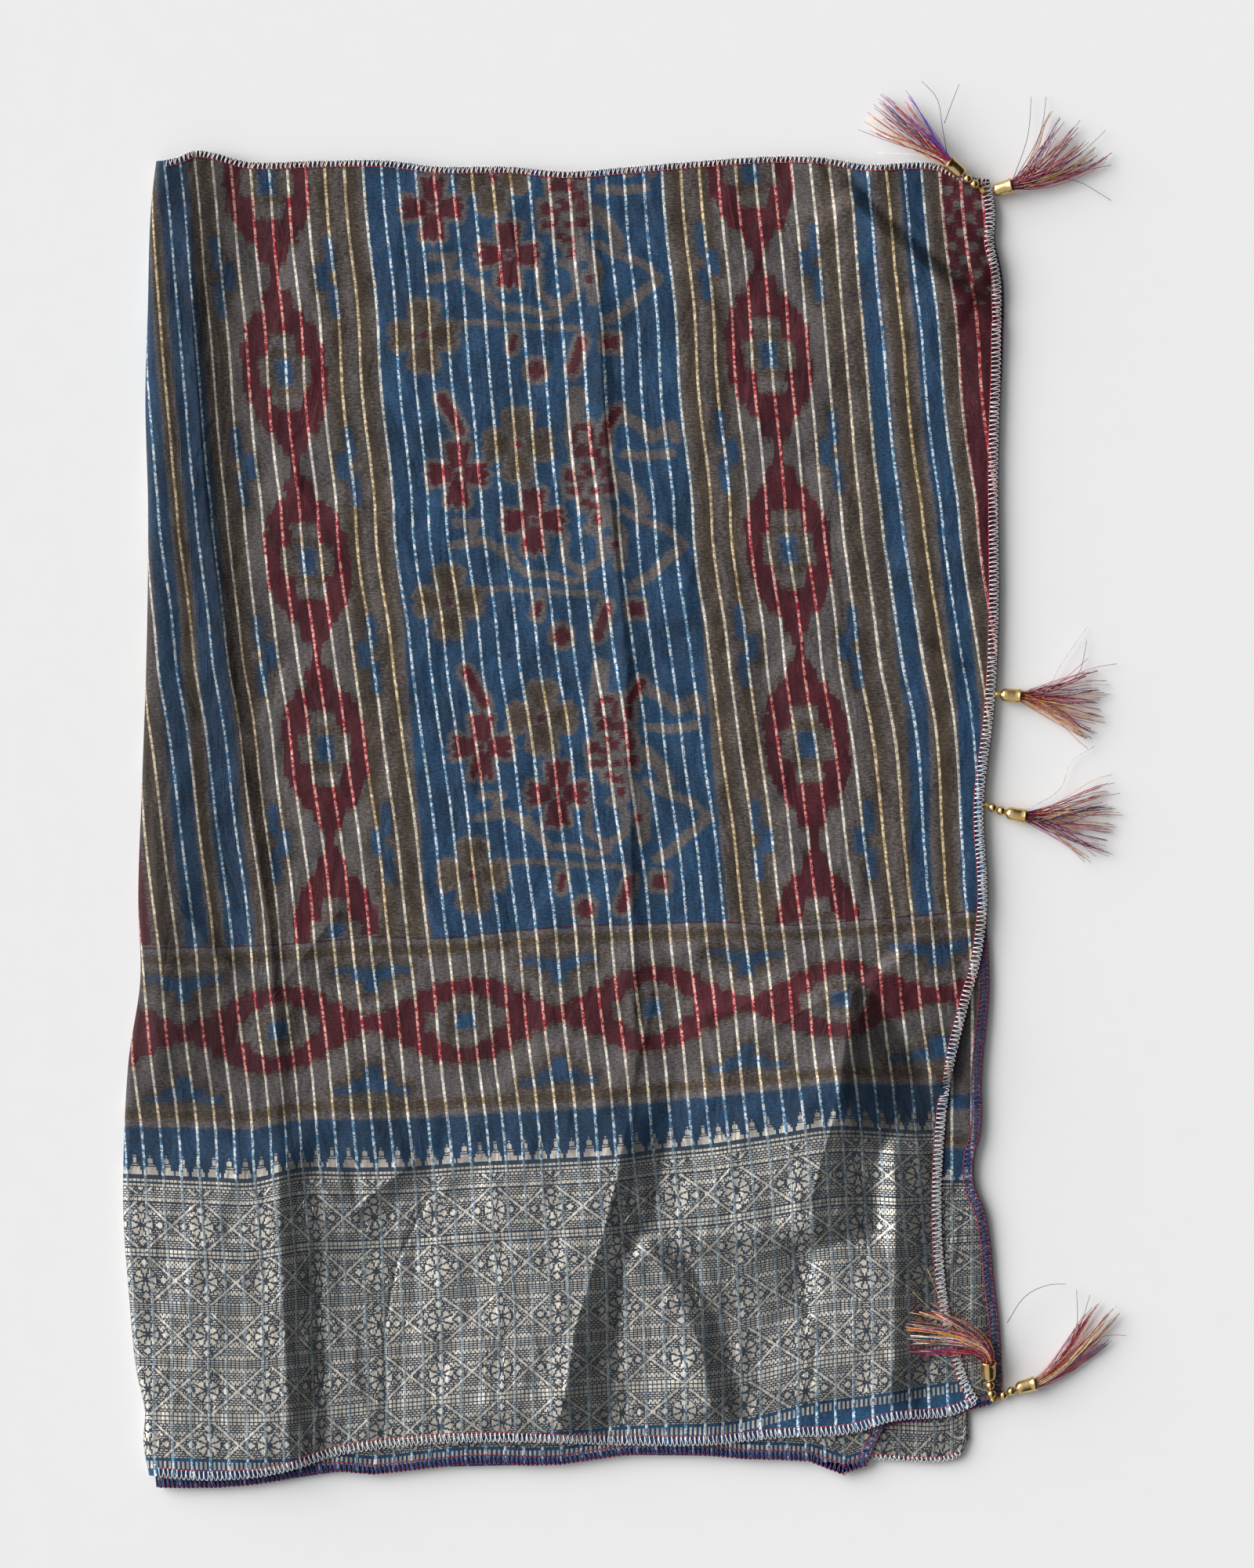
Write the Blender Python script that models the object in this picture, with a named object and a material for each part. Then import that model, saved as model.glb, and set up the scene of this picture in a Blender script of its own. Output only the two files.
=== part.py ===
"""A folded stole: one length of thin patterned cloth, folded in four and laid flat on a surface.

The cloth is about 711 mm wide and 1829 mm long. It is folded in half along its length and then in half
again, so four layers lie on each other, and both tasselled short ends come to the right-hand side.
Three tassels hang at each short end, at its two corners and its middle, each from a gilt bell cap.

Frame: metres, +Z up off the surface, +X to the right and +Y to the top of the folded stole as it is seen
from above. The origin is on the surface under the middle of the whole thing. The tables are in
millimetres, measured from that origin.
"""

import math

import bpy
import numpy as np
from mathutils import Matrix, Vector

MM = 0.001

# The stack of four layers
WALL = 1.0
GAP = 0.3
LOWER_THICK = 3.2
SECOND_UNDER = LOWER_THICK + GAP
FRONT_UNDER = SECOND_UNDER + WALL + GAP
FRONT_TOP = FRONT_UNDER + WALL
FOLD_REACH = 4.0
EDGE_STEP = 2.5
FOLD_END_X = 187.5
OVERHANG_DROP = 2.2
OVERHANG_FROM_X = 191.5
OVERHANG_RUN = 14.0
FRONT_DROP_SHARE = 0.45

# How finely each layer is divided
FRONT_COLUMNS = 30
FRONT_FOLD_STEPS = 5
FRONT_ROWS = 33
SECOND_COLUMNS = 12
SECOND_ROWS = 26
LOWER_SIDE_POINTS = 16

# Tassels
CAP_SIDES = 14
CAP_BORE = 3.35
CAP_BORE_DEPTH = 5.0
PLUG_RADIUS = 3.0
PLUG_SET_BACK = 0.6
PLUG_LENGTH = 3.6
STRANDS = 34
STRAND_RADIUS = 0.3
STRAND_SHARES = [0.11, 0.36, 0.68]
STRAND_ROOT_SPREAD = 2.4
STRAIGHT_START = 9.0
ROOT_DEPTH = 1.2
FAN_POWER = 1.15
BEAD_RADIUS = 2.05
THREAD_RADIUS = 0.7
LOOP_SIDES = 9

# Outline of the front layer, corner to corner: x, y in mm
FRONT_LEFT = [
    (-262.3, -379.3),
    (-265.5, -361.0),
    (-264.6, -345.0),
    (-269.2, -322.5),
    (-273.5, -279.5),
    (-276.5, -236.5),
    (-276.1, -193.5),
    (-273.5, -150.5),
    (-267.2, -107.5),
    (-268.3, -64.5),
    (-266.2, 0.0),
    (-263.6, 75.0),
    (-262.8, 150.5),
    (-264.3, 215.0),
    (-263.0, 258.0),
    (-260.6, 322.5),
    (-258.4, 341.4),
]
FRONT_TOP_EDGE = [
    (-258.4, 341.4),
    (-247.0, 343.0),
    (-236.5, 347.0),
    (-225.8, 345.7),
    (-212.0, 341.8),
    (-172.0, 341.6),
    (-129.0, 341.6),
    (-107.5, 338.8),
    (-64.5, 338.4),
    (-32.2, 335.8),
    (0.0, 338.2),
    (43.0, 341.8),
    (86.0, 344.2),
    (107.5, 343.4),
    (129.0, 339.7),
    (172.0, 339.3),
    (185.8, 333.7),
    (198.7, 331.5),
]
FRONT_RIGHT = [
    (193.5, -338.8),
    (187.9, -329.4),
    (182.8, -313.9),
    (177.2, -292.8),
    (173.3, -261.9),
    (172.0, -235.2),
    (173.3, -197.4),
    (177.6, -159.5),
    (186.6, -121.7),
    (193.5, -96.8),
    (196.9, -70.5),
    (195.2, -9.0),
    (200.4, 36.5),
    (202.1, 58.0),
    (203.4, 101.0),
    (203.0, 176.3),
    (204.7, 240.8),
    (203.8, 281.6),
    (200.8, 297.0),
    (201.4, 312.0),
    (198.7, 331.5),
]
FRONT_BOTTOM_EDGE = [
    (-262.3, -379.3),
    (-239.9, -381.0),
    (-218.0, -381.0),
    (-200.8, -379.3),
    (-183.2, -375.4),
    (-161.2, -368.5),
    (-137.6, -364.6),
    (-103.2, -361.2),
    (-43.0, -360.5),
    (0.0, -362.1),
    (48.2, -361.8),
    (82.1, -358.2),
    (127.7, -354.4),
    (142.8, -349.6),
    (182.3, -344.4),
    (193.5, -338.8),
]

# Outline of the second layer where it shows past the front one: x, y in mm
SECOND_RIGHT = [
    (201.2, -339.7),
    (204.7, -333.2),
    (205.1, -318.2),
    (203.8, -296.7),
    (200.8, -273.1),
    (199.1, -254.1),
    (195.2, -232.6),
    (190.4, -221.0),
    (189.8, -205.0),
    (192.6, -194.8),
    (193.9, -159.5),
    (198.2, -108.8),
    (196.5, -73.1),
    (194.2, -9.0),
    (199.4, 40.0),
    (201.6, 111.8),
    (202.0, 172.0),
    (205.8, 240.8),
    (205.4, 280.0),
    (200.0, 303.0),
    (197.2, 328.5),
]
SECOND_BOTTOM_EDGE = [
    (-261.0, -385.7),
    (-218.0, -385.3),
    (-187.5, -381.4),
    (-167.3, -376.7),
    (-137.6, -378.4),
    (-116.1, -375.8),
    (-83.8, -372.8),
    (-40.9, -373.4),
    (0.0, -367.8),
    (35.7, -367.6),
    (68.4, -370.2),
    (98.9, -371.1),
    (127.7, -378.0),
    (140.0, -368.5),
    (163.4, -356.9),
    (201.2, -339.7),
]

# Bottom edge of the lower layers; the right-hand end is the outside of a fold: x, y in mm
LOWER_BOTTOM_EDGE = [
    (-256.0, -381.5),
    (-218.0, -381.8),
    (-187.5, -378.2),
    (-137.6, -374.4),
    (-83.8, -369.6),
    (0.0, -364.6),
    (68.4, -366.8),
    (110.0, -368.6),
    (142.8, -370.8),
    (168.6, -371.3),
    (180.0, -368.6),
]

# Ridges pressed or pushed up in the front layer.
# path: x, y in mm along the crest; height at the crest; reach of each side from the crest
CREASES = [
    {
        "name": "centre press line",
        "path": [(-19.4, 322.0), (-10.8, 172.0), (0.0, 64.5), (3.4, -81.7), (5.2, -189.0)],
        "height": 1.6,
        "left": 16.0,
        "right": 9.0,
    },
    {
        "name": "left press line",
        "path": [(-231.0, 155.0), (-215.0, 43.0), (-196.0, -77.0), (-187.0, -206.0), (-184.0, -366.0)],
        "height": 1.9,
        "left": 26.0,
        "right": 9.0,
    },
    {
        "name": "top right slant",
        "path": [(124.7, 337.0), (163.4, 301.0), (184.0, 286.0), (200.0, 279.5)],
        "height": 2.8,
        "left": 22.0,
        "right": 8.0,
    },
    {
        "name": "tuck, upper side",
        "path": [(40.0, -166.0), (107.5, -118.3), (136.0, -103.0), (186.0, -71.0)],
        "height": 4.6,
        "left": 18.0,
        "right": 10.0,
    },
    {
        "name": "tuck, right side",
        "path": [(134.0, -105.0), (150.5, -142.0), (171.0, -189.0)],
        "height": 4.0,
        "left": 14.0,
        "right": 7.0,
    },
    {
        "name": "left v, upper arm",
        "path": [(-238.0, -82.0), (-194.0, -115.0)],
        "height": 2.0,
        "left": 8.0,
        "right": 8.0,
    },
    {
        "name": "left v, right arm",
        "path": [(-193.0, -115.0), (-155.0, -66.0)],
        "height": 2.0,
        "left": 8.0,
        "right": 8.0,
    },
    {
        "name": "border slant",
        "path": [(-2.0, -190.0), (-9.0, -215.0), (-28.0, -301.0), (-36.5, -358.0)],
        "height": 3.4,
        "left": 40.0,
        "right": 10.0,
    },
    {
        "name": "border peak",
        "path": [(-172.0, -233.0), (-108.0, -213.0), (-124.0, -270.0), (-129.0, -344.0)],
        "height": 2.2,
        "left": 9.0,
        "right": 12.0,
    },
    {
        "name": "border right slant",
        "path": [(112.0, -195.0), (99.0, -241.0), (86.0, -301.0)],
        "height": 3.0,
        "left": 24.0,
        "right": 10.0,
    },
    {
        "name": "border right edge fold",
        "path": [(148.4, -236.0), (147.0, -288.0)],
        "height": 1.8,
        "left": 12.0,
        "right": 6.0,
    },
]
CREST_ROUNDING = 2.0
CREASE_END_SHARE = 0.12
AIR_UNDER_FRONT = 0.6

# Tassels, in mm. knot: where the thread leaves the cloth, with this radius; beads: how many are strung
# between it and the cap's neck. mouth: the cap's open end. bend and tips: the middle of the skirt's
# curve and of its tips. fan: half the width of the tips.
TASSELS = [
    {
        "name": "top_front",
        "knot": (194.8, 325.1, 8.2),
        "knot_radius": 1.5,
        "beads": 2,
        "neck": (184.5, 333.2, 10.4),
        "mouth": (175.9, 340.5, 11.2),
        "bend": (157.0, 355.5, 9.4),
        "tips": (136.2, 373.6, 3.4),
        "fan": 13.0,
    },
    {
        "name": "top_back",
        "knot": None,
        "knot_radius": 0.0,
        "beads": 0,
        "neck": (200.8, 325.2, 4.2),
        "mouth": (211.4, 328.2, 6.4),
        "bend": (232.2, 337.8, 5.0),
        "tips": (254.7, 362.0, 2.8),
        "fan": 19.0,
    },
    {
        "name": "middle_back",
        "knot": (203.2, 49.3, 4.4),
        "knot_radius": 1.35,
        "beads": 0,
        "neck": (204.95, 49.1, 4.6),
        "mouth": (216.2, 48.0, 4.6),
        "bend": (240.0, 47.2, 4.2),
        "tips": (268.5, 44.2, 2.6),
        "fan": 18.5,
    },
    {
        "name": "middle_front",
        "knot": (197.2, -11.6, 4.2),
        "knot_radius": 1.5,
        "beads": 2,
        "neck": (207.9, -15.7, 4.6),
        "mouth": (219.0, -17.8, 4.6),
        "bend": (243.0, -20.5, 4.2),
        "tips": (269.8, -22.6, 2.6),
        "fan": 19.0,
    },
    {
        "name": "bottom_front",
        "knot": (200.5, -337.3, 4.7),
        "knot_radius": 1.5,
        "beads": 2,
        "neck": (198.8, -327.2, 7.0),
        "mouth": (198.1, -316.4, 10.2),
        "bend": (189.0, -300.0, 12.6),
        "tips": (140.5, -298.0, 9.8),
        "fan": 9.5,
    },
    {
        "name": "bottom_back",
        "knot": (203.5, -337.0, 2.4),
        "knot_radius": 1.5,
        "beads": 2,
        "neck": (213.3, -331.8, 4.6),
        "mouth": (224.2, -328.8, 4.6),
        "bend": (246.5, -312.5, 4.4),
        "tips": (268.0, -287.0, 2.6),
        "fan": 9.5,
    },
]

# Colours (linear) and finish
CLOTH_BLUE = (0.035, 0.105, 0.19)
CLOTH_BROWN = (0.09, 0.075, 0.065)
CLOTH_SILVER = (0.19, 0.18, 0.17)
GILT = (0.72, 0.48, 0.12)
THREAD = (0.36, 0.07, 0.1)


def clear_scene():
    for obj in list(bpy.data.objects):
        bpy.data.objects.remove(obj)


def finish(name, colour, roughness, metallic):
    material = bpy.data.materials.new(name)
    material.use_nodes = True
    shader = material.node_tree.nodes["Principled BSDF"]
    shader.inputs["Base Color"].default_value = (*colour, 1.0)
    shader.inputs["Roughness"].default_value = roughness
    shader.inputs["Metallic"].default_value = metallic
    return material


def add_object(name, points_mm, faces, material):
    mesh = bpy.data.meshes.new(name)
    mesh.from_pydata([tuple(c * MM for c in p) for p in points_mm], [], faces)
    mesh.materials.append(material)
    obj = bpy.data.objects.new(name, mesh)
    bpy.context.scene.collection.objects.link(obj)
    return obj


# Curves through an outline's points
def point_at_share(outline, shares):
    """Points on the outline at these shares of its length, on a smooth curve through its points."""
    table = np.array(outline)
    steps = np.linalg.norm(np.diff(table, axis=0), axis=1)
    length = np.concatenate([[0.0], np.cumsum(steps)])
    slopes = np.gradient(table, length, axis=0)
    wanted = np.clip(np.asarray(shares, float), 0.0, 1.0) * length[-1]
    row = np.clip(np.searchsorted(length, wanted) - 1, 0, len(steps) - 1)
    u = ((wanted - length[row]) / steps[row])[:, None]
    run = steps[row][:, None]
    start = (1 + 2 * u) * (1 - u) ** 2 * table[row] + u * (1 - u) ** 2 * run * slopes[row]
    end = u * u * (3 - 2 * u) * table[row + 1] + u * u * (u - 1) * run * slopes[row + 1]
    return start + end


def patch(left, right, bottom, top, columns, rows):
    """A grid of points (rows, columns, 2) that fills the four outlines, as a Coons patch."""
    s = np.asarray(columns, float)[None, :, None]
    t = np.asarray(rows, float)[:, None, None]
    sides = (1 - s) * left[:, None, :] + s * right[:, None, :]
    ends = (1 - t) * bottom[None, :, :] + t * top[None, :, :]
    corners = (1 - s) * (1 - t) * left[0] + s * (1 - t) * right[0]
    corners = corners + (1 - s) * t * left[-1] + s * t * right[-1]
    return sides + ends - corners


def smoothstep(value):
    value = np.clip(value, 0.0, 1.0)
    return value * value * (3 - 2 * value)


# Heights
def crease_height(x, y, crease):
    """How far this crease lifts the cloth at each point. Its left side is the left of its path, as it runs."""
    path = np.array(crease["path"])
    runs = np.linalg.norm(np.diff(path, axis=0), axis=1)
    total = runs.sum()
    best = np.full(x.shape, np.inf)
    side = np.zeros(x.shape)
    along = np.zeros(x.shape)
    done = 0.0
    for start, end, run in zip(path[:-1], path[1:], runs):
        ux, uy = (end - start) / run
        step = np.clip((x - start[0]) * ux + (y - start[1]) * uy, 0.0, run)
        dx, dy = x - start[0] - step * ux, y - start[1] - step * uy
        distance = np.hypot(dx, dy)
        nearer = distance < best
        best = np.where(nearer, distance, best)
        side = np.where(nearer, ux * dy - uy * dx, side)
        along = np.where(nearer, (done + step) / total, along)
        done += run
    reach = np.where(side > 0, crease["left"], crease["right"])
    slope = np.exp((CREST_ROUNDING - np.hypot(best, CREST_ROUNDING)) / reach)
    ends = smoothstep(along / CREASE_END_SHARE) * smoothstep((1 - along) / CREASE_END_SHARE)
    return crease["height"] * slope * (0.25 + 0.75 * ends)


def overhang(x):
    """How far a layer sinks where it reaches past the fold that carries it."""
    return OVERHANG_DROP * smoothstep((x - OVERHANG_FROM_X) / OVERHANG_RUN)


def front_height(x, y, columns, rows):
    """Height of the front layer's upper face."""
    lift = np.zeros(x.shape)
    for crease in CREASES:
        lift = np.maximum(lift, crease_height(x, y, crease))
    away = np.sin(np.pi * np.clip(columns, 0, 1)) * np.sin(np.pi * np.clip(rows, 0, 1))
    return FRONT_TOP + lift + AIR_UNDER_FRONT * away - FRONT_DROP_SHARE * overhang(x)


# Cloth layers
def wall_faces(rows, columns):
    """Faces of a wall with an outer grid, an inner grid after it, and a rim between them."""
    def outer(r, c):
        return r * columns + c

    def inner(r, c):
        return rows * columns + r * columns + c

    faces = []
    for r in range(rows - 1):
        for c in range(columns - 1):
            faces.append((outer(r, c), outer(r, c + 1), outer(r + 1, c + 1), outer(r + 1, c)))
            faces.append((inner(r, c), inner(r + 1, c), inner(r + 1, c + 1), inner(r, c + 1)))
    for c in range(columns - 1):
        faces.append((outer(0, c), inner(0, c), inner(0, c + 1), outer(0, c + 1)))
        last = rows - 1
        faces.append((outer(last, c), outer(last, c + 1), inner(last, c + 1), inner(last, c)))
    for r in range(rows - 1):
        faces.append((outer(r, 0), outer(r + 1, 0), inner(r + 1, 0), inner(r, 0)))
        last = columns - 1
        faces.append((outer(r, last), inner(r, last), inner(r + 1, last), outer(r + 1, last)))
    return faces


def front_layer(material):
    """The layer that shows: from its overlocked right edge over the top and round the left fold to the floor."""
    rows = np.linspace(0.0, 1.0, FRONT_ROWS)
    columns = np.linspace(0.0, 1.0, FRONT_COLUMNS)
    fold_line = point_at_share(FRONT_LEFT, rows)
    left = fold_line + np.array([FOLD_REACH, 0.0])
    bottom = point_at_share([tuple(left[0])] + FRONT_BOTTOM_EDGE[1:], columns)
    top = point_at_share([tuple(left[-1])] + FRONT_TOP_EDGE[1:], columns)
    right = point_at_share(FRONT_RIGHT, rows)
    flat = patch(left, right, bottom, top, columns, rows)
    height = front_height(flat[..., 0], flat[..., 1], columns[None, :], rows[:, None])
    outer_rows, inner_rows = [], []
    turns = np.linspace(math.pi, 0.0, FRONT_FOLD_STEPS + 1)[:-1]
    for r in range(FRONT_ROWS):
        y = left[r, 1]
        half = height[r, 0] / 2
        outer_row, inner_row = [], []
        for turn in turns:
            across, up = math.sin(turn), math.cos(turn)
            outer_row.append((left[r, 0] - FOLD_REACH * across, y, half + half * up))
            inside = half - WALL
            inner_row.append((left[r, 0] - (FOLD_REACH - WALL) * across, y, half + inside * up))
        for c in range(FRONT_COLUMNS):
            x, y_here = flat[r, c]
            outer_row.append((x, y_here, height[r, c]))
            inner_row.append((x, y_here, height[r, c] - WALL))
        outer_rows.append(outer_row)
        inner_rows.append(inner_row)
    points = [p for row in outer_rows + inner_rows for p in row]
    width = FRONT_FOLD_STEPS + FRONT_COLUMNS
    return add_object("front_layer", points, wall_faces(FRONT_ROWS, width), material)


def second_layer(material):
    """The layer under the front one. It shows past it down the right side and along the bottom."""
    rows = np.linspace(0.0, 1.0, SECOND_ROWS)
    columns = np.sin(np.linspace(0.0, math.pi / 2, SECOND_COLUMNS))
    hidden_inset = 2.0
    left = point_at_share(FRONT_LEFT, rows) + np.array([FOLD_REACH, 0.0])
    left[0] = (left[0][0], SECOND_BOTTOM_EDGE[0][1])
    left[-1] = left[-1] - np.array([0.0, hidden_inset])
    right = point_at_share(SECOND_RIGHT, rows)
    bottom = point_at_share([tuple(left[0])] + SECOND_BOTTOM_EDGE[1:], columns)
    top_edge = [(x, y - hidden_inset) for x, y in FRONT_TOP_EDGE[1:-1]]
    top = point_at_share([tuple(left[-1])] + top_edge + [tuple(right[-1])], columns)
    flat = patch(left, right, bottom, top, columns, rows)
    under = SECOND_UNDER - overhang(flat[..., 0])
    over = [(x, y, z + WALL) for (x, y), z in zip(flat.reshape(-1, 2), under.ravel())]
    below = [(x, y, z) for (x, y), z in zip(flat.reshape(-1, 2), under.ravel())]
    return add_object("second_layer", over + below, wall_faces(SECOND_ROWS, SECOND_COLUMNS), material)


def lower_outline():
    """Points round the two lower layers, with the side that each lies on, counter-clockwise from bottom left."""
    shares = np.linspace(0.0, 1.0, LOWER_SIDE_POINTS)
    bottom = point_at_share(LOWER_BOTTOM_EDGE, shares)
    corner_x, corner_y = 8.0, 6.0
    turn = np.radians([-60.0, -30.0, 0.0])
    low_corner = [
        (FOLD_END_X - corner_x + corner_x * math.cos(a), bottom[-1][1] + corner_y * (1 + math.sin(a)))
        for a in turn
    ]
    high_end = 326.0
    right_y = np.linspace(low_corner[-1][1], high_end, 7)[1:]
    right = [(FOLD_END_X, y) for y in right_y]
    top_edge = [(x, y - 4.0) for x, y in FRONT_TOP_EDGE[1:-2]]
    top = point_at_share(top_edge[::-1], shares)
    left = point_at_share(FRONT_LEFT, np.linspace(1.0, 0.0, FRONT_ROWS)[1:-1])
    left = left + np.array([FOLD_REACH, 0.0])
    named = [(tuple(p), "edge", (0.0, 1.0)) for p in bottom]
    named += [(p, "fold", (-1.0, 0.5)) for p in low_corner]
    named += [(p, "fold", (-1.0, 0.0)) for p in right]
    named += [(tuple(p), "edge", (0.0, -1.0)) for p in top]
    named += [(tuple(p), "nose", (1.0, 0.0)) for p in left]
    return named


def lower_inset(side, z):
    """How far in from its outline a side lies at height z: a groove between two edges, or a round fold."""
    half = LOWER_THICK / 2
    if side == "fold":
        return half - math.sqrt(max(half * half - (z - half) ** 2, 0.0))
    if side == "nose":
        if z < WALL + GAP:
            return GAP
        nose = (LOWER_THICK - WALL - GAP) / 2
        middle = LOWER_THICK - nose
        round_off = nose - math.sqrt(max(nose * nose - (z - middle) ** 2, 0.0))
        return -1.6 + round_off
    return EDGE_STEP if abs(z - half) < 0.2 else 0.0


def lower_layers(material):
    """Third and fourth layers as one solid: flat underneath, round where it folds, stepped at its cut edges."""
    levels = [0.0, 0.5, 1.0, WALL + GAP - 0.01, WALL + GAP + 0.01, 1.45, 1.75, 1.95, 2.4, 2.9, LOWER_THICK]
    outline = lower_outline()
    points = []
    for z in levels:
        for (x, y), side, (inward_x, inward_y) in outline:
            inset = lower_inset(side, z)
            points.append((x + inward_x * inset, y + inward_y * inset, z))
    count = len(outline)
    faces = [tuple(range(count))[::-1], tuple(range((len(levels) - 1) * count, len(levels) * count))]
    for level in range(len(levels) - 1):
        base = level * count
        for i in range(count):
            after = (i + 1) % count
            faces.append((base + i, base + after, base + count + after, base + count + i))
    return add_object("lower_layers", points, faces, material)


# Tassels
def frame_along(direction):
    """A rotation whose +X is the direction, +Y is level and +Z is as near up as can be."""
    forward = Vector(direction).normalized()
    level = Vector((0, 0, 1)).cross(forward).normalized()
    up = forward.cross(level)
    return Matrix((forward, level, up)).transposed()


def turned(name, start, end, profile, sides, material):
    """A closed turned solid on the line from start to end. profile: (along, radius) from tip to tip in mm."""
    start = Vector(start)
    turn = frame_along(Vector(end) - start)
    points = [start + turn @ Vector((profile[0][0], 0.0, 0.0))]
    rings = profile[1:-1]
    for along, radius in rings:
        for i in range(sides):
            angle = 2 * math.pi * i / sides
            local = Vector((along, radius * math.cos(angle), radius * math.sin(angle)))
            points.append(start + turn @ local)
    points.append(start + turn @ Vector((profile[-1][0], 0.0, 0.0)))
    last = len(points) - 1
    faces = []
    for i in range(sides):
        after = (i + 1) % sides
        faces.append((0, 1 + after, 1 + i))
        for ring in range(len(rings) - 1):
            base = 1 + ring * sides
            faces.append((base + i, base + after, base + sides + after, base + sides + i))
        base = 1 + (len(rings) - 1) * sides
        faces.append((base + i, base + after, last))
    obj = add_object(name, points, faces, material)
    obj.data.shade_smooth()
    obj.data.set_sharp_from_angle(angle=math.radians(40))
    return obj


def bell_cap(name, neck, mouth, material):
    """A gilt bell cap turned as one shell: domed at its neck, open at its mouth, with a rolled rim."""
    length = (Vector(mouth) - Vector(neck)).length
    floor = length - CAP_BORE_DEPTH
    profile = [
        (0.0, 0.0),
        (0.0, 1.5),
        (0.9, 1.6),
        (1.1, 2.7),
        (2.2, 3.5),
        (3.4, 3.7),
        (length - 1.3, 3.85),
        (length - 1.0, 4.15),
        (length, 4.15),
        (length, CAP_BORE),
        (floor, CAP_BORE),
        (floor, 0.0),
    ]
    return turned(name, neck, mouth, profile, CAP_SIDES, material)


def loop(name, tassel, material):
    """The thread from the cloth to the cap's neck, with its knot and its small beads strung close to the cap."""
    knot = tassel["knot_radius"]
    length = (Vector(tassel["neck"]) - Vector(tassel["knot"])).length
    bulges = [(0.0, knot)]
    for number in range(tassel["beads"]):
        bulges.append((length - GAP - (2 * number + 1) * BEAD_RADIUS, BEAD_RADIUS))
    first = -knot
    last = max(centre + radius for centre, radius in bulges)
    marks = {round(centre + radius * share, 2) for centre, radius in bulges for share in (-0.8, -0.35, 0.35, 0.8)}
    profile = [(first, 0.0)]
    for along in sorted(mark for mark in marks if first < mark < last):
        radii = [math.sqrt(max(r * r - (along - c) ** 2, 0.0)) for c, r in bulges]
        profile.append((along, max(radii + [THREAD_RADIUS])))
    profile.append((last, 0.0))
    return turned(name, tassel["knot"], tassel["neck"], profile, LOOP_SIDES, material)


def strand_seat(index):
    """Where a strand leaves the plug, across and up, in shares of the spread: an even spiral."""
    radius = math.sqrt((index + 0.5) / STRANDS)
    angle = index * math.pi * (3 - math.sqrt(5))
    return radius * math.cos(angle), radius * math.sin(angle)


def skirt_centre(start, way, tassel, share):
    """A point on the skirt's middle line, and the direction there. It leaves the cap along the cap's axis."""
    tips = Vector(tassel["tips"])
    points = [start, start + way * STRAIGHT_START, Vector(tassel["bend"]), tips]
    rest = 1 - share
    place = rest**3 * points[0] + 3 * rest * rest * share * points[1]
    place = place + 3 * rest * share * share * points[2] + share**3 * points[3]
    run = rest * rest * (points[1] - points[0]) + 2 * rest * share * (points[2] - points[1])
    run = run + share * share * (points[3] - points[2])
    return place, run.normalized()


def strand_rings(tassel, index, start, way):
    across, up = strand_seat(index)
    tip = 1.0 + 0.07 * math.sin(index * 2.4) - 0.08 * across * across
    root = -ROOT_DEPTH / (3 * STRAIGHT_START)
    rings = []
    for share in [root] + STRAND_SHARES + [tip]:
        centre, here = skirt_centre(start, way, tassel, share)
        turn = frame_along(here)
        opened = max(share, 0.0)
        spread = STRAND_ROOT_SPREAD + (tassel["fan"] - STRAND_ROOT_SPREAD) * opened**FAN_POWER
        depth = STRAND_ROOT_SPREAD * (1 - 0.2 * opened)
        middle = centre + turn @ Vector((0.0, across * spread, up * depth))
        taper = 1.0 - 0.25 * opened
        ring = []
        for corner in range(3):
            angle = 2 * math.pi * corner / 3 + math.pi / 2
            local = Vector((0.0, math.cos(angle), math.sin(angle))) * STRAND_RADIUS * taper
            ring.append(middle + turn @ local)
        rings.append(ring)
    return rings


def skirt(tassel, material):
    """All the strands of one tassel, fused at their roots into the plug that sits in the cap."""
    neck, mouth = Vector(tassel["neck"]), Vector(tassel["mouth"])
    way = (mouth - neck).normalized()
    end = mouth - way * PLUG_SET_BACK
    back = end - way * PLUG_LENGTH
    profile = [(0.0, 0.0), (0.0, PLUG_RADIUS), (PLUG_LENGTH, PLUG_RADIUS), (PLUG_LENGTH, 0.0)]
    plug = turned("tassel_" + tassel["name"] + "_skirt", back, end, profile, 12, material)

    points, faces = [], []
    for index in range(STRANDS):
        base = len(points)
        rings = strand_rings(tassel, index, end, way)
        for ring in rings:
            points.extend(ring)
        for step in range(len(rings) - 1):
            low = base + 3 * step
            for corner in range(3):
                after = (corner + 1) % 3
                faces.append((low + corner, low + after, low + 3 + after, low + 3 + corner))
        faces.append((base + 2, base + 1, base))
        top = base + 3 * (len(rings) - 1)
        faces.append((top, top + 1, top + 2))
    strands = add_object("strands_" + tassel["name"], points, faces, material)
    strands.hide_render = True
    strands.display_type = "WIRE"
    join = plug.modifiers.new("join strands", "BOOLEAN")
    join.operation = "UNION"
    join.solver = "EXACT"
    join.object = strands
    return plug


def tassels():
    gilt = finish("gilt metal", GILT, 0.25, 1.0)
    thread = finish("mixed thread", THREAD, 0.6, 0.0)
    for tassel in TASSELS:
        label = "tassel_" + tassel["name"]
        if tassel["knot"]:
            loop(label + "_loop", tassel, gilt)
        bell_cap(label + "_cap", tassel["neck"], tassel["mouth"], gilt)
        skirt(tassel, thread)


def centre_over_floor():
    """Moves every mesh so that the origin lies on the floor, under the middle of the whole thing."""
    points = np.array([vertex.co for obj in bpy.data.objects for vertex in obj.data.vertices])
    low, high = points.min(axis=0), points.max(axis=0)
    move = Matrix.Translation((-(low[0] + high[0]) / 2, -(low[1] + high[1]) / 2, -low[2]))
    for obj in bpy.data.objects:
        obj.data.transform(move)


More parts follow.
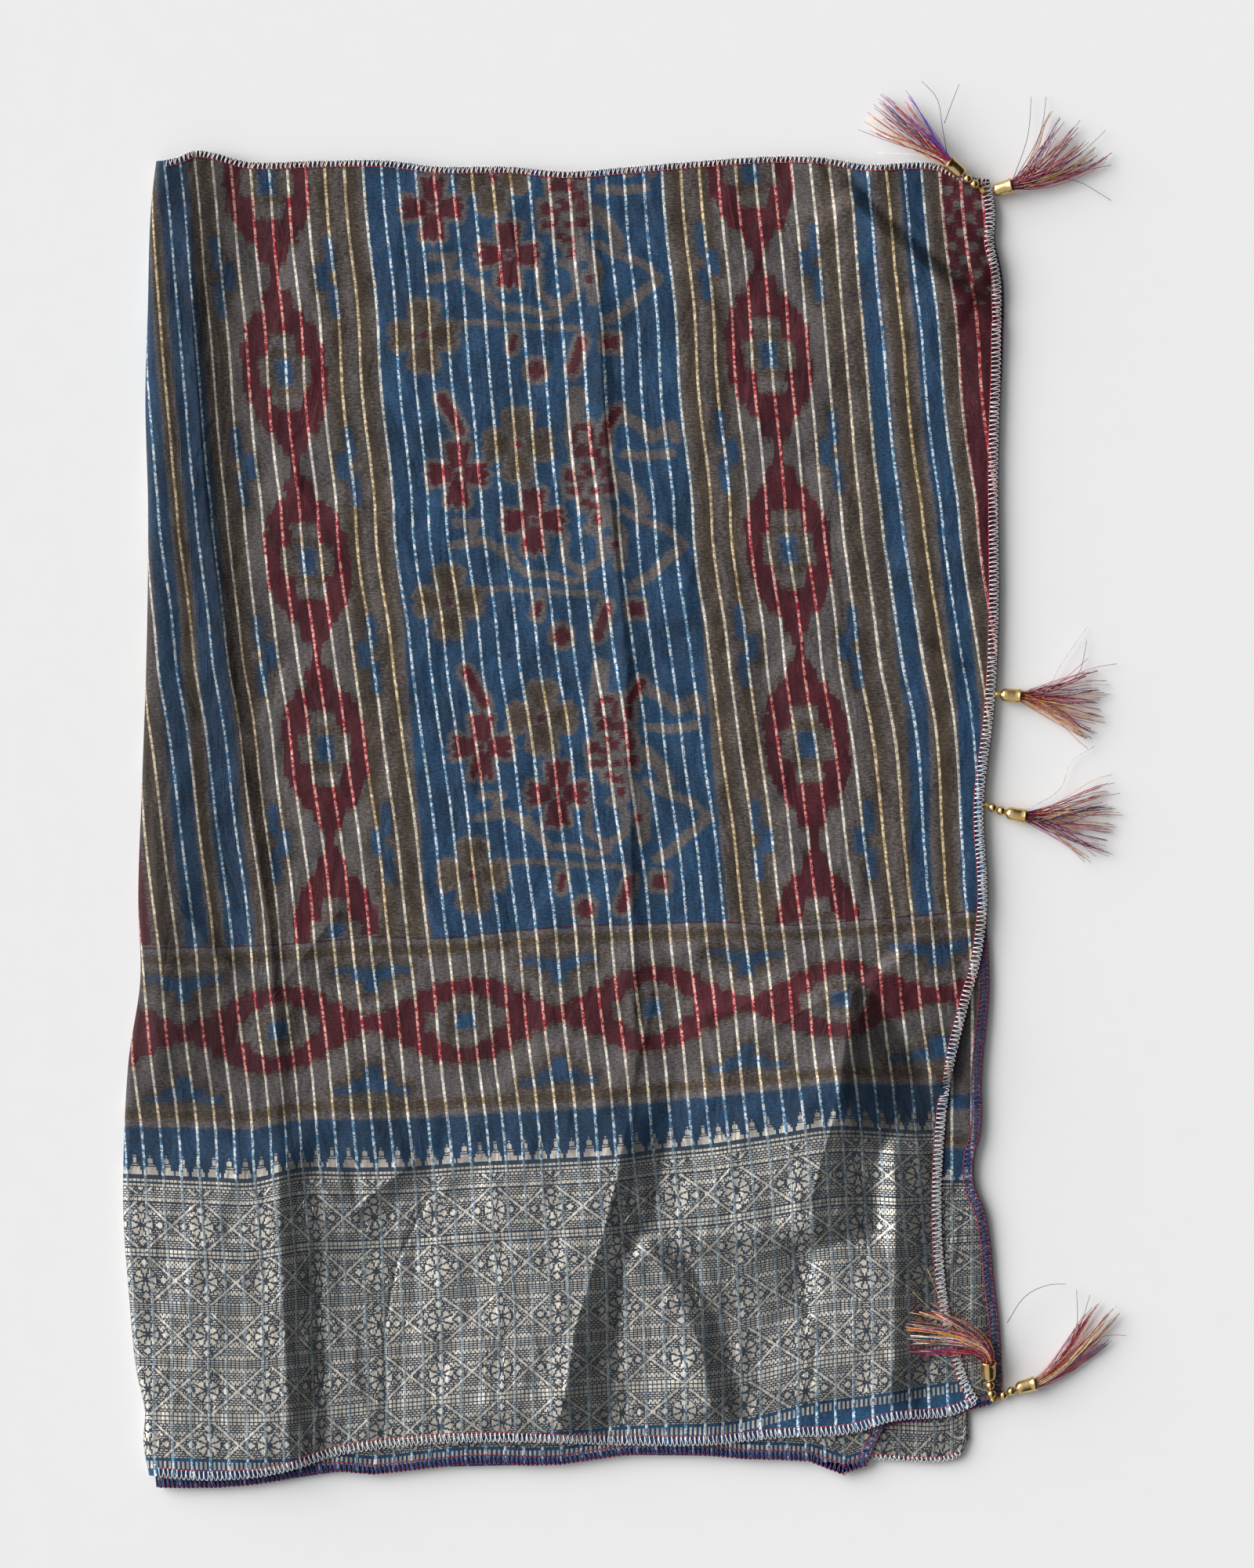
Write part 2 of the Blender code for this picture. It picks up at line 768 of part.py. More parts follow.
def main():
    clear_scene()
    front_layer(finish("patterned cloth, face", CLOTH_BLUE, 0.65, 0.0))
    second_layer(finish("patterned cloth, back", CLOTH_BROWN, 0.7, 0.0))
    lower_layers(finish("brocade border", CLOTH_SILVER, 0.5, 0.3))
    tassels()
    centre_over_floor()


main()
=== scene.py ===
"""A folded stole of patterned cloth with a silver brocade border and six tassels, laid flat on a surface.

Lengths in the tables are millimetres unless a comment says otherwise. Places on the cloth were measured in
the pixels of the picture that the camera repeats, 0.43 mm to the pixel, from its top left corner.
"""

import math

import bpy
import numpy as np
from mathutils import Matrix, Vector


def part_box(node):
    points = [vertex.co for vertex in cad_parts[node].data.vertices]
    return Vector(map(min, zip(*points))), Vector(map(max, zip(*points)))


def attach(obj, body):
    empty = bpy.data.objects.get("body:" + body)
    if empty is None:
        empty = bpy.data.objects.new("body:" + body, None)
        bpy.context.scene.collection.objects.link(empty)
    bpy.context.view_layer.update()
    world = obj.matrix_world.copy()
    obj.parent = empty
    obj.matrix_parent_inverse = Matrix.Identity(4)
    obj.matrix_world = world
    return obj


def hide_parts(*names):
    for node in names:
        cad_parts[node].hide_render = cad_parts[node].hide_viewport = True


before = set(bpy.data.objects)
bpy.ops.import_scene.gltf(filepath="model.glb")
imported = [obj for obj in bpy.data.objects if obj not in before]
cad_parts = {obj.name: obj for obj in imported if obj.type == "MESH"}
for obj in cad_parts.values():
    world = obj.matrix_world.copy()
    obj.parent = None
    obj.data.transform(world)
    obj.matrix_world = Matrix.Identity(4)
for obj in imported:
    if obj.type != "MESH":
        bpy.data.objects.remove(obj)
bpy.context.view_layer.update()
bpy.ops.object.select_all(action="DESELECT")

# Camera, floor and light
# The stole lies on a pale table top and is seen from straight above, under one large soft window-like light
# from the upper left with a weaker fill all round.

# Millimetres to a pixel, the picture's middle in pixels, the depth that it shows, and the camera over it
MM = 0.001
PIXEL = 0.43
PICTURE_MIDDLE = (800.0, 1000.0)
VIEW_DEPTH = 860.0
LENS_HEIGHT = 3.2
SENSOR = 36.0
CLOTH_FACE = 5.0
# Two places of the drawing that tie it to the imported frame, in millimetres, and the way to the window
FOLD_END_X = 187.5
SECOND_LOWEST_Y = -385.7
TO_WINDOW = (-0.88, 0.36, 0.40)

# The drawing's origin, the middle of the view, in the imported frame
drawing_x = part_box("lower_layers")[1][0] / MM - FOLD_END_X
drawing_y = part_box("second_layer")[0][1] / MM - SECOND_LOWEST_Y


def to_pixels(x, y):
    """The picture's pixels for a place in the drawing, in millimetres."""
    return PICTURE_MIDDLE[0] + x / PIXEL, PICTURE_MIDDLE[1] - y / PIXEL


def from_pixels(px, py):
    """The place in the drawing, in millimetres, for the picture's pixels."""
    return (px - PICTURE_MIDDLE[0]) * PIXEL, (PICTURE_MIDDLE[1] - py) * PIXEL


def linear(code, alpha=1.0):
    """A linear colour from an sRGB hex code."""
    parts = [int(code[i : i + 2], 16) / 255 for i in (1, 3, 5)]
    return (*[p / 12.92 if p <= 0.04045 else ((p + 0.055) / 1.055) ** 2.4 for p in parts], alpha)


def node(tree, kind, feeds=(), out=0, **settings):
    """Adds one shader node with its settings, feeds it from sockets or values, and gives one output."""
    made = tree.nodes.new("ShaderNode" + kind)
    for name, value in settings.items():
        setattr(made, name, value)
    pairs = feeds.items() if isinstance(feeds, dict) else enumerate(feeds)
    for key, value in pairs:
        if isinstance(value, bpy.types.NodeSocket):
            tree.links.new(value, made.inputs[key])
        elif value is not None:
            made.inputs[key].default_value = value
    return made.outputs[out]


def new_material(name):
    material = bpy.data.materials.new(name)
    material.use_nodes = True
    return material, material.node_tree, material.node_tree.nodes["Principled BSDF"]


def feed(tree, shader, **sockets):
    """Feeds the shader's inputs, named with underscores for spaces, from sockets or values."""
    for name, value in sockets.items():
        target = shader.inputs[name.replace("_", " ")]
        if isinstance(value, bpy.types.NodeSocket):
            tree.links.new(value, target)
        else:
            target.default_value = value


camera_data = bpy.data.cameras.new("camera")
camera_data.sensor_fit = "VERTICAL"
camera_data.sensor_height = SENSOR
camera_data.lens = SENSOR * (LENS_HEIGHT / MM - CLOTH_FACE) / VIEW_DEPTH
camera_data.clip_end = 20.0
camera = bpy.data.objects.new("camera", camera_data)
camera.location = (drawing_x * MM, drawing_y * MM, LENS_HEIGHT)
bpy.context.scene.collection.objects.link(camera)
bpy.context.scene.camera = camera

bpy.ops.mesh.primitive_plane_add(size=6.0, location=(0.0, 0.0, -0.0002))
floor = bpy.context.object
floor.name = "floor"
# Matt pale laminate: a plain light grey that takes soft shadows
material, tree, shader = new_material("pale table top")
speckle = node(tree, "TexNoise", {"Vector": node(tree, "TexCoord", out=3), "Scale": 60.0, "Detail": 3.0})
tone = node(tree, "MapRange", {0: speckle, 3: 0.0, 4: 1.0})
tint = node(tree, "Mix", {0: tone, 6: linear("#EDEDED"), 7: linear("#EFEFEF")}, out=2, data_type="RGBA")
feed(tree, shader, Base_Color=tint, Roughness=0.9)
floor.data.materials.append(material)

sun_data = bpy.data.lights.new("window", "SUN")
sun_data.energy = 4.95
sun_data.angle = math.radians(60.0)
sun_data.color = (1.0, 0.99, 0.985)
sun = bpy.data.objects.new("window", sun_data)
sun.rotation_euler = Vector(TO_WINDOW).to_track_quat("Z", "Y").to_euler()
bpy.context.scene.collection.objects.link(sun)

# The room is bright on the window's side and dim on the other
world = bpy.data.worlds.new("studio")
world.use_nodes = True
room = world.node_tree
side = node(room, "SeparateXYZ", [node(room, "TexCoord")])
side = node(room, "MapRange", {0: side, 1: -0.14, 2: 0.14, 3: 0.72, 4: 0.02}, interpolation_type="SMOOTHSTEP")
room.links.new(side, room.nodes["Background"].inputs["Strength"])
room.nodes["Background"].inputs["Color"].default_value = (0.97, 0.985, 1.0, 1.0)
bpy.context.scene.world = world
bpy.context.scene.view_settings.view_transform = "Standard"

# The cloth's first layer
# One length of thin cotton and silk cloth, dyed in the ikat way and then woven, with a line of metal thread
# every 10 mm along its length and a 6 inch silver brocade border. It is folded at the left, and this layer
# lies face up with its overlocked short end down the right side.
FRONT_TOP = 5.8
FOLD_REACH = 4.0
CLOTH = 0.45
THREAD_PITCH = 10.16

FRONT_LEFT = [
    (-262.3, -379.3), (-265.5, -361.0), (-264.6, -345.0), (-269.2, -322.5), (-273.5, -279.5),
    (-276.5, -236.5), (-276.1, -193.5), (-273.5, -150.5), (-267.2, -107.5), (-268.3, -64.5),
    (-266.2, 0.0), (-263.6, 75.0), (-262.8, 150.5), (-264.3, 215.0), (-263.0, 258.0), (-260.6, 322.5),
    (-258.4, 341.4),
]
FRONT_TOP_EDGE = [
    (-258.4, 341.4), (-247.0, 343.0), (-236.5, 347.0), (-225.8, 345.7), (-212.0, 341.8), (-172.0, 341.6),
    (-129.0, 341.6), (-107.5, 338.8), (-64.5, 338.4), (-32.2, 335.8), (0.0, 338.2), (43.0, 341.8),
    (86.0, 344.2), (107.5, 343.4), (129.0, 339.7), (172.0, 339.3), (185.8, 333.7), (198.7, 331.5),
]
FRONT_RIGHT = [
    (193.5, -338.8), (187.9, -329.4), (182.8, -313.9), (177.2, -292.8), (173.3, -261.9), (172.0, -235.2),
    (173.3, -197.4), (177.6, -159.5), (186.6, -121.7), (193.5, -96.8), (196.9, -70.5), (195.2, -9.0),
    (200.4, 36.5), (202.1, 58.0), (203.4, 101.0), (203.0, 176.3), (204.7, 240.8), (203.8, 281.6),
    (200.8, 297.0), (201.4, 312.0), (198.7, 331.5),
]
FRONT_BOTTOM_EDGE = [
    (-262.3, -379.3), (-239.9, -381.0), (-218.0, -381.0), (-200.8, -379.3), (-183.2, -375.4),
    (-161.2, -368.5), (-137.6, -364.6), (-103.2, -361.2), (-43.0, -360.5), (0.0, -362.1), (48.2, -361.8),
    (82.1, -358.2), (127.7, -354.4), (142.8, -349.6), (182.3, -344.4), (193.5, -338.8),
]

# Ridges pressed or pushed up in this layer: path along the crest, height, reach to the left and to the right
# of somebody who walks along that path
CREASES = [
    # centre press line, left press line
    ([(-19.4, 322.0), (-10.8, 172.0), (0.0, 64.5), (3.4, -81.7), (5.2, -189.0)], 2.0, 3.5, 12.0),
    ([(-240.0, 335.0), (-238.0, 250.0), (-231.0, 155.0), (-215.0, 43.0), (-196.0, -77.0), (-188.0, -190.0)],
     3.0, 5.0, 26.0),
    # the tuck above the border: its ridge and its short mouth
    ([(72.0, -138.0), (96.0, -124.0), (119.5, -112.5), (128.0, -109.2)], 3.0, 20.0, 8.0),
    ([(128.0, -109.2), (152.2, -94.0)], 2.4, 8.0, 4.0),
    # the v at the left
    ([(-238.0, -82.0), (-194.0, -115.0)], 2.0, 8.0, 8.0),
    ([(-193.0, -115.0), (-155.0, -66.0)], 2.0, 8.0, 8.0),
]
# The tuck above the border: the crest that its wedge falls from and the lip over it, which bound the wedge's
# painted shade
TUCK_CREST = [(124.0, -107.0), (119.5, -138.0), (114.8, -178.0), (111.0, -206.0)]
TUCK_LIP = [(127.5, -104.0), (135.0, -111.0), (155.0, -138.6), (173.0, -168.0), (180.0, -204.0)]
# Creases darkened with painted shade: path, share of light lost, reach
SHADED_CREASES = [
    ([(122.0, 332.0), (146.0, 305.5), (167.0, 287.0), (185.0, 275.0), (202.0, 265.0)], 0.46, 4.0),
    ([(-19.4, 322.0), (-10.8, 172.0), (0.0, 64.5), (3.4, -81.7), (5.2, -189.0)], 0.24, 2.4),
    ([(-231.0, 155.0), (-215.0, 43.0), (-196.0, -77.0), (-189.0, -120.0), (-188.0, -190.0)], 0.3, 3.0),
    ([(-238.0, -82.0), (-194.0, -115.0), (-155.0, -66.0)], 0.3, 3.0),
    ([(74.0, -141.0), (97.0, -127.0), (120.0, -115.5), (130.0, -112.0)], 0.36, 3.0),
    ([(140.0, 92.0), (163.0, 78.5), (187.0, 64.0)], 0.3, 2.6),
]
# Broad flat facets, which break along sharp crests: path, height, width on each side
FACETS = [
    ([(-190.0, -190.0), (-190.5, -210.7), (-188.0, -290.0), (-184.0, -384.0)], 7.8, 19.0, 90.0),
    ([(2.0, -176.0), (-0.9, -189.2), (-4.3, -210.7), (-12.9, -245.1), (-28.0, -296.7), (-39.0, -366.0)],
     8.6, 25.0, 96.0),
    # the slant at the top right: the fall towards the pulled-up corner, and the lip past it
    ([(117.4, 326.0), (139.7, 301.7), (156.9, 289.0), (172.4, 274.5), (193.0, 261.0)], 6.8, 8.0, 32.0),
    ([(125.0, 334.7), (147.3, 310.3), (164.5, 297.7), (180.0, 283.1), (200.0, 270.0)], 4.8, 24.0, 2.4),
    # the tuck: the plane under it that turns from the light, and the lip beside that
    ([(122.7, -110.0), (114.2, -180.1), (108.0, -199.7), (101.0, -225.9), (104.3, -256.0)], 11.0, 42.0, 90.0),
    ([(124.0, -107.0), (119.5, -138.0), (114.8, -178.0)], 12.4, 29.0, 60.0),
    ([(128.6, -104.0), (135.0, -111.0), (155.0, -138.6), (173.0, -168.0)], 7.4, 46.0, 3.2),
    ([(146.0, -194.0), (147.0, -232.0), (146.6, -286.0)], 7.6, 21.0, 13.0),
    ([(147.0, -246.0), (146.2, -313.9), (143.0, -346.0)], 7.4, 18.0, 84.0),
    ([(8.0, -246.0), (28.0, -280.0), (41.0, -310.0), (48.0, -352.0)], 5.6, 15.0, 44.0),
]
CREST_ROUNDING = 1.4
CREASE_END_SHARE = 0.12
END_SHARE_OF_FACET = 0.1
END_SHARE_OF_LINE = 0.15
LOW_FACET_LINE = 0.22
FAR_FROM_CREASE = 12.0
AIR_UNDER_FRONT = 0.6
BULGE_BY_FOLD = 3.6
TROUGH_DEPTH = 0.5
OVERHANG_DROP = 2.2
OVERHANG_FROM_X = 191.5
OVERHANG_RUN = 14.0
FRONT_DROP_SHARE = 0.45


def point_at_share(outline, shares):
    """Points on the outline at these shares of its length, on a smooth curve through its points."""
    table = np.array(outline)
    steps = np.linalg.norm(np.diff(table, axis=0), axis=1)
    length = np.concatenate([[0.0], np.cumsum(steps)])
    slopes = np.gradient(table, length, axis=0)
    wanted = np.clip(np.asarray(shares, float), 0.0, 1.0) * length[-1]
    row = np.clip(np.searchsorted(length, wanted) - 1, 0, len(steps) - 1)
    u = ((wanted - length[row]) / steps[row])[:, None]
    run = steps[row][:, None]
    start = (1 + 2 * u) * (1 - u) ** 2 * table[row] + u * (1 - u) ** 2 * run * slopes[row]
    end = u * u * (3 - 2 * u) * table[row + 1] + u * u * (u - 1) * run * slopes[row + 1]
    return start + end


def patch(left, right, bottom, top, columns, rows):
    """A grid of points (rows, columns, 2) that fills the four outlines."""
    s = np.asarray(columns, float)[None, :, None]
    t = np.asarray(rows, float)[:, None, None]
    sides = (1 - s) * left[:, None, :] + s * right[:, None, :]
    ends = (1 - t) * bottom[None, :, :] + t * top[None, :, :]
    corners = (1 - s) * (1 - t) * left[0] + s * (1 - t) * right[0]
    corners = corners + (1 - s) * t * left[-1] + s * t * right[-1]
    return sides + ends - corners


def smoothstep(value):
    value = np.clip(value, 0.0, 1.0)
    return value * value * (3 - 2 * value)


def nearest_on(x, y, path):
    """Distance to a path, which side of it a point lies on, and the share along it, for each point."""
    path = np.array(path, float)
    runs = np.linalg.norm(np.diff(path, axis=0), axis=1)
    best, side, along = np.full(x.shape, np.inf), np.zeros(x.shape), np.zeros(x.shape)
    done = 0.0
    for start, end, run in zip(path[:-1], path[1:], runs):
        ux, uy = (end - start) / run
        step = np.clip((x - start[0]) * ux + (y - start[1]) * uy, 0.0, run)
        dx, dy = x - start[0] - step * ux, y - start[1] - step * uy
        distance = np.hypot(dx, dy)
        nearer = distance < best
        best = np.where(nearer, distance, best)
        side = np.where(nearer, ux * dy - uy * dx, side)
        along = np.where(nearer, (done + step) / runs.sum(), along)
        done += run
    return best, side, along


def crease_height(x, y, crease):
    path, height, left, right = crease
    best, side, along = nearest_on(x, y, path)
    slope = np.exp((CREST_ROUNDING - np.hypot(best, CREST_ROUNDING)) / np.where(side > 0, left, right))
    ends = smoothstep(along / CREASE_END_SHARE) * smoothstep((1 - along) / CREASE_END_SHARE)
    return height * slope * (0.25 + 0.75 * ends)


def facet_height(x, y, facet):
    path, height, left, right = facet
    best, side, along = nearest_on(x, y, path)
    rounded = np.hypot(best, 1.0) - 1.0
    slope = np.clip(1 - rounded / np.where(side > 0, left, right), 0.0, 1.0)
    ends = smoothstep(along / END_SHARE_OF_FACET) * smoothstep((1 - along) / END_SHARE_OF_FACET)
    return height * slope * (0.3 + 0.7 * ends)


def crease_line(x, y):
    """Distance from the nearest crease in this layer, and how high that crease is there."""
    line, height = np.full(x.shape, FAR_FROM_CREASE), np.zeros(x.shape)
    low_facets = [(path, rise * LOW_FACET_LINE, left, right) for path, rise, left, right in FACETS]
    for path, rise, left, right in CREASES + SMALL_CREASES + low_facets:
        best, side, along = nearest_on(x, y, path)
        nearer = best < np.abs(line)
        ends = smoothstep(along / END_SHARE_OF_LINE) * smoothstep((1 - along) / END_SHARE_OF_LINE)
        line = np.where(nearer, best * np.where(side > 0, 1.0, -1.0), line)
        height = np.where(nearer, rise * ends, height)
    return line, height


def overhang(x):
    return OVERHANG_DROP * smoothstep((x - OVERHANG_FROM_X) / OVERHANG_RUN)


# Small creases of this layer, as above. A height below nought is a trough.
SMALL_CREASES = [
    ([(-104.0, -216.0), (-126.0, -262.0), (-133.0, -300.0), (-131.0, -352.0)], -3.4, 8.0, 15.0),
    ([(92.0, -252.0), (97.5, -276.0), (99.0, -296.0)], -3.0, 8.0, 10.0),
    ([(-176.0, -214.0), (-150.0, -236.0), (-136.0, -222.0), (-112.0, -204.0)], 2.4, 14.0, 6.0),
    ([(-170.0, -282.0), (-150.0, -286.0), (-134.0, -278.0)], -2.0, 5.0, 12.0),
    ([(-252.0, -60.0), (-226.0, -92.0), (-214.0, -104.0)], 1.3, 6.0, 4.0),
    ([(-60.0, -86.0), (-30.0, -98.0), (20.0, -96.0), (60.0, -84.0)], 1.1, 9.0, 5.0),
    ([(20.0, -130.0), (60.0, -124.0), (92.0, -104.0)], 1.2, 7.0, 6.0),
    ([(128.0, -80.0), (158.0, -70.0), (184.0, -72.0)], 1.3, 7.0, 5.0),
    ([(100.0, 20.0), (128.0, 8.0), (150.0, -16.0)], 0.9, 6.0, 6.0),
    ([(-70.0, 320.0), (-62.0, 296.0), (-66.0, 270.0)], 0.9, 5.0, 7.0),
    ([(52.0, 330.0), (58.0, 300.0), (50.0, 276.0)], 0.8, 5.0, 7.0),
    ([(-214.0, 300.0), (-206.0, 262.0), (-212.0, 226.0)], 0.8, 5.0, 7.0),
    ([(-104.0, 40.0), (-86.0, 6.0), (-84.0, -30.0)], 0.8, 6.0, 8.0),
    ([(20.0, 150.0), (34.0, 118.0), (32.0, 84.0)], 0.8, 5.0, 8.0),
    ([(-128.0, 128.0), (-116.0, 120.0), (-104.0, 118.0)], 0.9, 4.0, 5.0),
    ([(-66.0, 250.0), (-58.0, 238.0), (-40.0, 232.0)], 0.7, 5.0, 5.0),
    ([(-20.0, -176.0), (-2.0, -184.0), (14.0, -182.0)], 1.0, 5.0, 4.0),
    ([(142.0, 90.3), (163.0, 77.0), (185.8, 63.6)], 1.1, 5.0, 3.0),
    ([(-190.0, 176.0), (-178.0, 160.0), (-172.0, 148.0)], 0.9, 3.0, 4.0),
    ([(152.0, 262.0), (176.0, 250.0), (196.0, 236.0)], 0.9, 5.0, 5.0),
    ([(40.0, 268.0), (60.0, 230.0), (76.0, 190.0)], 0.5, 7.0, 9.0),
    ([(-150.0, 60.0), (-132.0, 10.0), (-128.0, -40.0)], 0.6, 9.0, 7.0),
    ([(60.0, 60.0), (78.0, 10.0), (84.0, -50.0)], 0.6, 8.0, 7.0),
    ([(-100.0, -96.0), (-60.0, -110.0), (-20.0, -112.0)], 0.7, 6.0, 8.0),
    ([(-146.0, -280.0), (-150.0, -320.0), (-140.0, -356.0)], 1.2, 7.0, 10.0),
    ([(28.0, -318.0), (52.0, -336.0), (60.0, -352.0)], 1.3, 8.0, 9.0),
    ([(62.0, -262.0), (84.0, -254.0), (98.0, -266.0)], 1.4, 8.0, 7.0),
    ([(20.0, -236.0), (44.0, -262.0), (52.0, -292.0)], 1.1, 9.0, 12.0),
    ([(-240.0, -215.0), (-236.0, -262.0), (-243.0, -310.0)], 0.7, 10.0, 8.0),
]


def soft_waves(x, y, seed, pitch, height):
    """Low uneven waves, smooth in both ways: the sum of a few slanted ripples of differing pitch."""
    draw = np.random.default_rng(seed)
    total = np.zeros(np.shape(x))
    for number in range(7):
        turn = draw.uniform(-0.55, 0.55) + (0.0 if number % 3 else 1.4)
        length = pitch * draw.uniform(0.7, 1.8)
        bend = draw.uniform(2.0, 5.0) * np.sin((y + draw.uniform(0, 90)) / draw.uniform(26.0, 60.0))
        phase = ((x + bend) * np.cos(turn) + y * np.sin(turn)) / length * 2 * np.pi + draw.uniform(0, 6.3)
        total = total + np.sin(phase) * draw.uniform(0.5, 1.0)
    return height * total / 3.0


def front_height(x, y, columns, rows):
    """Height of this layer's upper face."""
    lift = np.zeros(x.shape)
    for crease in CREASES:
        lift = np.maximum(lift, crease_height(x, y, crease))
    for facet in FACETS:
        lift = np.maximum(lift, facet_height(x, y, facet))
    for crease in SMALL_CREASES:
        lift = lift + crease_height(x, y, crease)
    away = np.sin(np.pi * np.clip(columns, 0, 1)) * np.sin(np.pi * np.clip(rows, 0, 1))
    edge = smoothstep(np.minimum(np.minimum(columns, 1 - columns) * 30, np.minimum(rows, 1 - rows) * 45))
    ripple = soft_waves(x, y, 5, 34.0, 0.5) + soft_waves(x, y, 9, 15.0, 0.24)
    # the cloth bulges up by the outer fold
    by_fold = smoothstep((x + 268.0) / 12.0) * np.clip((-212.0 - x) / 48.0, 0.0, 1.0)
    lift = lift + BULGE_BY_FOLD * (by_fold * smoothstep((y + 190.0) / 60.0))
    height = FRONT_TOP + lift + AIR_UNDER_FRONT * away + ripple * edge
    # the deepest troughs rest on the layer below
    return np.maximum(height, FRONT_TOP - TROUGH_DEPTH) - FRONT_DROP_SHARE * overhang(x)


# The pattern's places, in the picture's pixels
# Metal threads along the length: where each starts at the top, and how far all lean to the right lower down
THREAD_X = [212.0, 231.7, 250.0, 271.7, 294.6, 319.0, 342.8, 365.8, 389.7, 414.0, 439.3, 463.6, 487.5, 508.1]
THREAD_X += [531.0, 554.0, 577.0, 602.2, 627.5, 650.5, 673.4, 698.7, 723.9, 749.2, 772.0, 795.0, 820.3, 844.2]
THREAD_X += [868.4, 892.7, 916.6, 939.5, 963.9, 987.7, 1010.7, 1035.0, 1058.9, 1082.8, 1105.7, 1130.0, 1153.0]
THREAD_X += [1174.6, 1197.6, 1224.0, 1251.7]
THREAD_STEP = 23.6
LEAN = [
    (190, -2.0), (215, 0.0), (307, 8.0), (403, 17.6), (499, 24.0), (594, 33.5), (640, 38.5), (680, 41.0),
    (729, 46.6), (793, 55.6), (854, 62.7), (911, 71.6), (1000, 83.0), (1060, 91.0), (1140, 101.0),
    (1300, 118.0), (1456, 135.0), (1600, 145.0), (1900, 152.0),
]
# The seam line above the border, the brocade's upper edge and its lower edge
SEAM_LINE = [(170, 1210), (384, 1203), (480, 1195), (547, 1197), (670, 1186), (741, 1181), (813, 1179)]
SEAM_LINE += [(920, 1176), (1003, 1180), (1105, 1173), (1207, 1165), (1265, 1160)]
BROCADE_TOP = [(170, 1497), (277, 1501), (318, 1502), (380, 1489), (456, 1489), (533, 1487), (599, 1482)]
BROCADE_TOP += [(711, 1476.5), (788, 1471.4), (850, 1463.8), (901, 1458.7), (952, 1451), (1003, 1443)]
BROCADE_TOP += [(1044, 1436), (1182, 1441), (1260, 1436)]
BROCADE_END = [
    (191, 1857), (369, 1857), (507, 1841), (850, 1815), (926, 1812), (1054, 1784), (1090, 1779),
    (1227, 1759),
]
BAND_DEPTH = 124.0
BROCADE_DEPTH = 152.6
# Near the right side the threads lie further right between these heights
RIGHT_LEAN = [
    (250, 0.0), (420, 3.5), (680, 9.0), (780, 12.0), (890, 14.0), (1000, 12.0), (1060, 6.0), (1130, 0.0),
]


def smooth_table(x, table):
    """A value read from a table of pairs, on a smooth curve through them, level past its ends."""
    table = np.array(table, float)
    slopes = np.gradient(table[:, 1], table[:, 0])
    x = np.clip(x, table[0, 0], table[-1, 0])
    row = np.clip(np.searchsorted(table[:, 0], x) - 1, 0, len(table) - 2)
    run = table[row + 1, 0] - table[row, 0]
    u = (x - table[row, 0]) / run
    start = (1 + 2 * u) * (1 - u) ** 2 * table[row, 1] + u * (1 - u) ** 2 * run * slopes[row]
    return start + u * u * (3 - 2 * u) * table[row + 1, 1] + u * u * (u - 1) * run * slopes[row + 1]


def thread_number(px, py):
    """How many metal threads lie to the left of each point, counted from the first at the top left."""
    right = smooth_table(py, RIGHT_LEAN) * smoothstep((px - 1080.0) / 130.0)
    at_top = px - smooth_table(py, LEAN) - right + 0.9 * np.sin(py / 37.0 + px / 67.0)
    known = np.interp(at_top, THREAD_X, np.arange(len(THREAD_X)))
    before = (at_top - THREAD_X[0]) / THREAD_STEP
    after = len(THREAD_X) - 1 + (at_top - THREAD_X[-1]) / THREAD_STEP
    return np.where(at_top < THREAD_X[0], before, np.where(at_top > THREAD_X[-1], after, known))


def down_from_seam(px, py):
    """Distance below the seam line in mm, along the cloth; above it, below nought."""
    seam, top, end = (smooth_table(px, t) for t in (SEAM_LINE, BROCADE_TOP, BROCADE_END))
    band = BAND_DEPTH * (py - seam) / (top - seam)
    brocade = BAND_DEPTH + BROCADE_DEPTH * (py - top) / (end - top)
    past = BAND_DEPTH + BROCADE_DEPTH + (py - end) * PIXEL
    below = np.where(py < top, band, np.where(py < end, brocade, past))
    return np.where(py < seam, (py - seam) * PIXEL, below)


# Outlines of the dyed figures: each function gives the distance outside a figure, below nought inside it
def stroke(x, y, path, radius):
    return nearest_on(x, y, path)[0] - radius


def block(x, y, centre, half_width, half_height):
    dx, dy = np.abs(x - centre[0]) - half_width, np.abs(y - centre[1]) - half_height
    return np.hypot(np.maximum(dx, 0), np.maximum(dy, 0)) + np.minimum(np.maximum(dx, dy), 0)


def both(*figures):
    return np.minimum.reduce(figures)


# The chains of linked diamonds down the length: middle line and the diamonds' middles
CHAINS = [
    {
        "line": [(150, 334), (232, 340), (475, 363.5), (716, 393), (955, 415), (1180, 429)],
        "middles": [-11, 232, 475, 716, 955, 1194],
    },
    {
        "line": [(150, 951), (217, 957), (452, 981), (700, 1006), (950, 1030), (1170, 1044)],
        "middles": [-30, 217, 452, 700, 950, 1193],
    },
]
LINK = 243.0
# The level chain in the band: its link, its first link's middle in pixels and its middle line in mm
LEVEL_LINK = 239.0
LEVEL_START = 355.0
LEVEL_DOWN = 46.4
# Rows of hooks above and below the level chain: mm below the seam line, and which way they point
LEVEL_HOOKS = [(21.0, 1.0), (78.7, -1.0)]
# More than any distance that is looked at, for a spot that is outside every figure
OUTSIDE = 400.0
# Height of one pair of checks in the outer maroon stripe, in pixels
CHECK_DOWN = 36.0
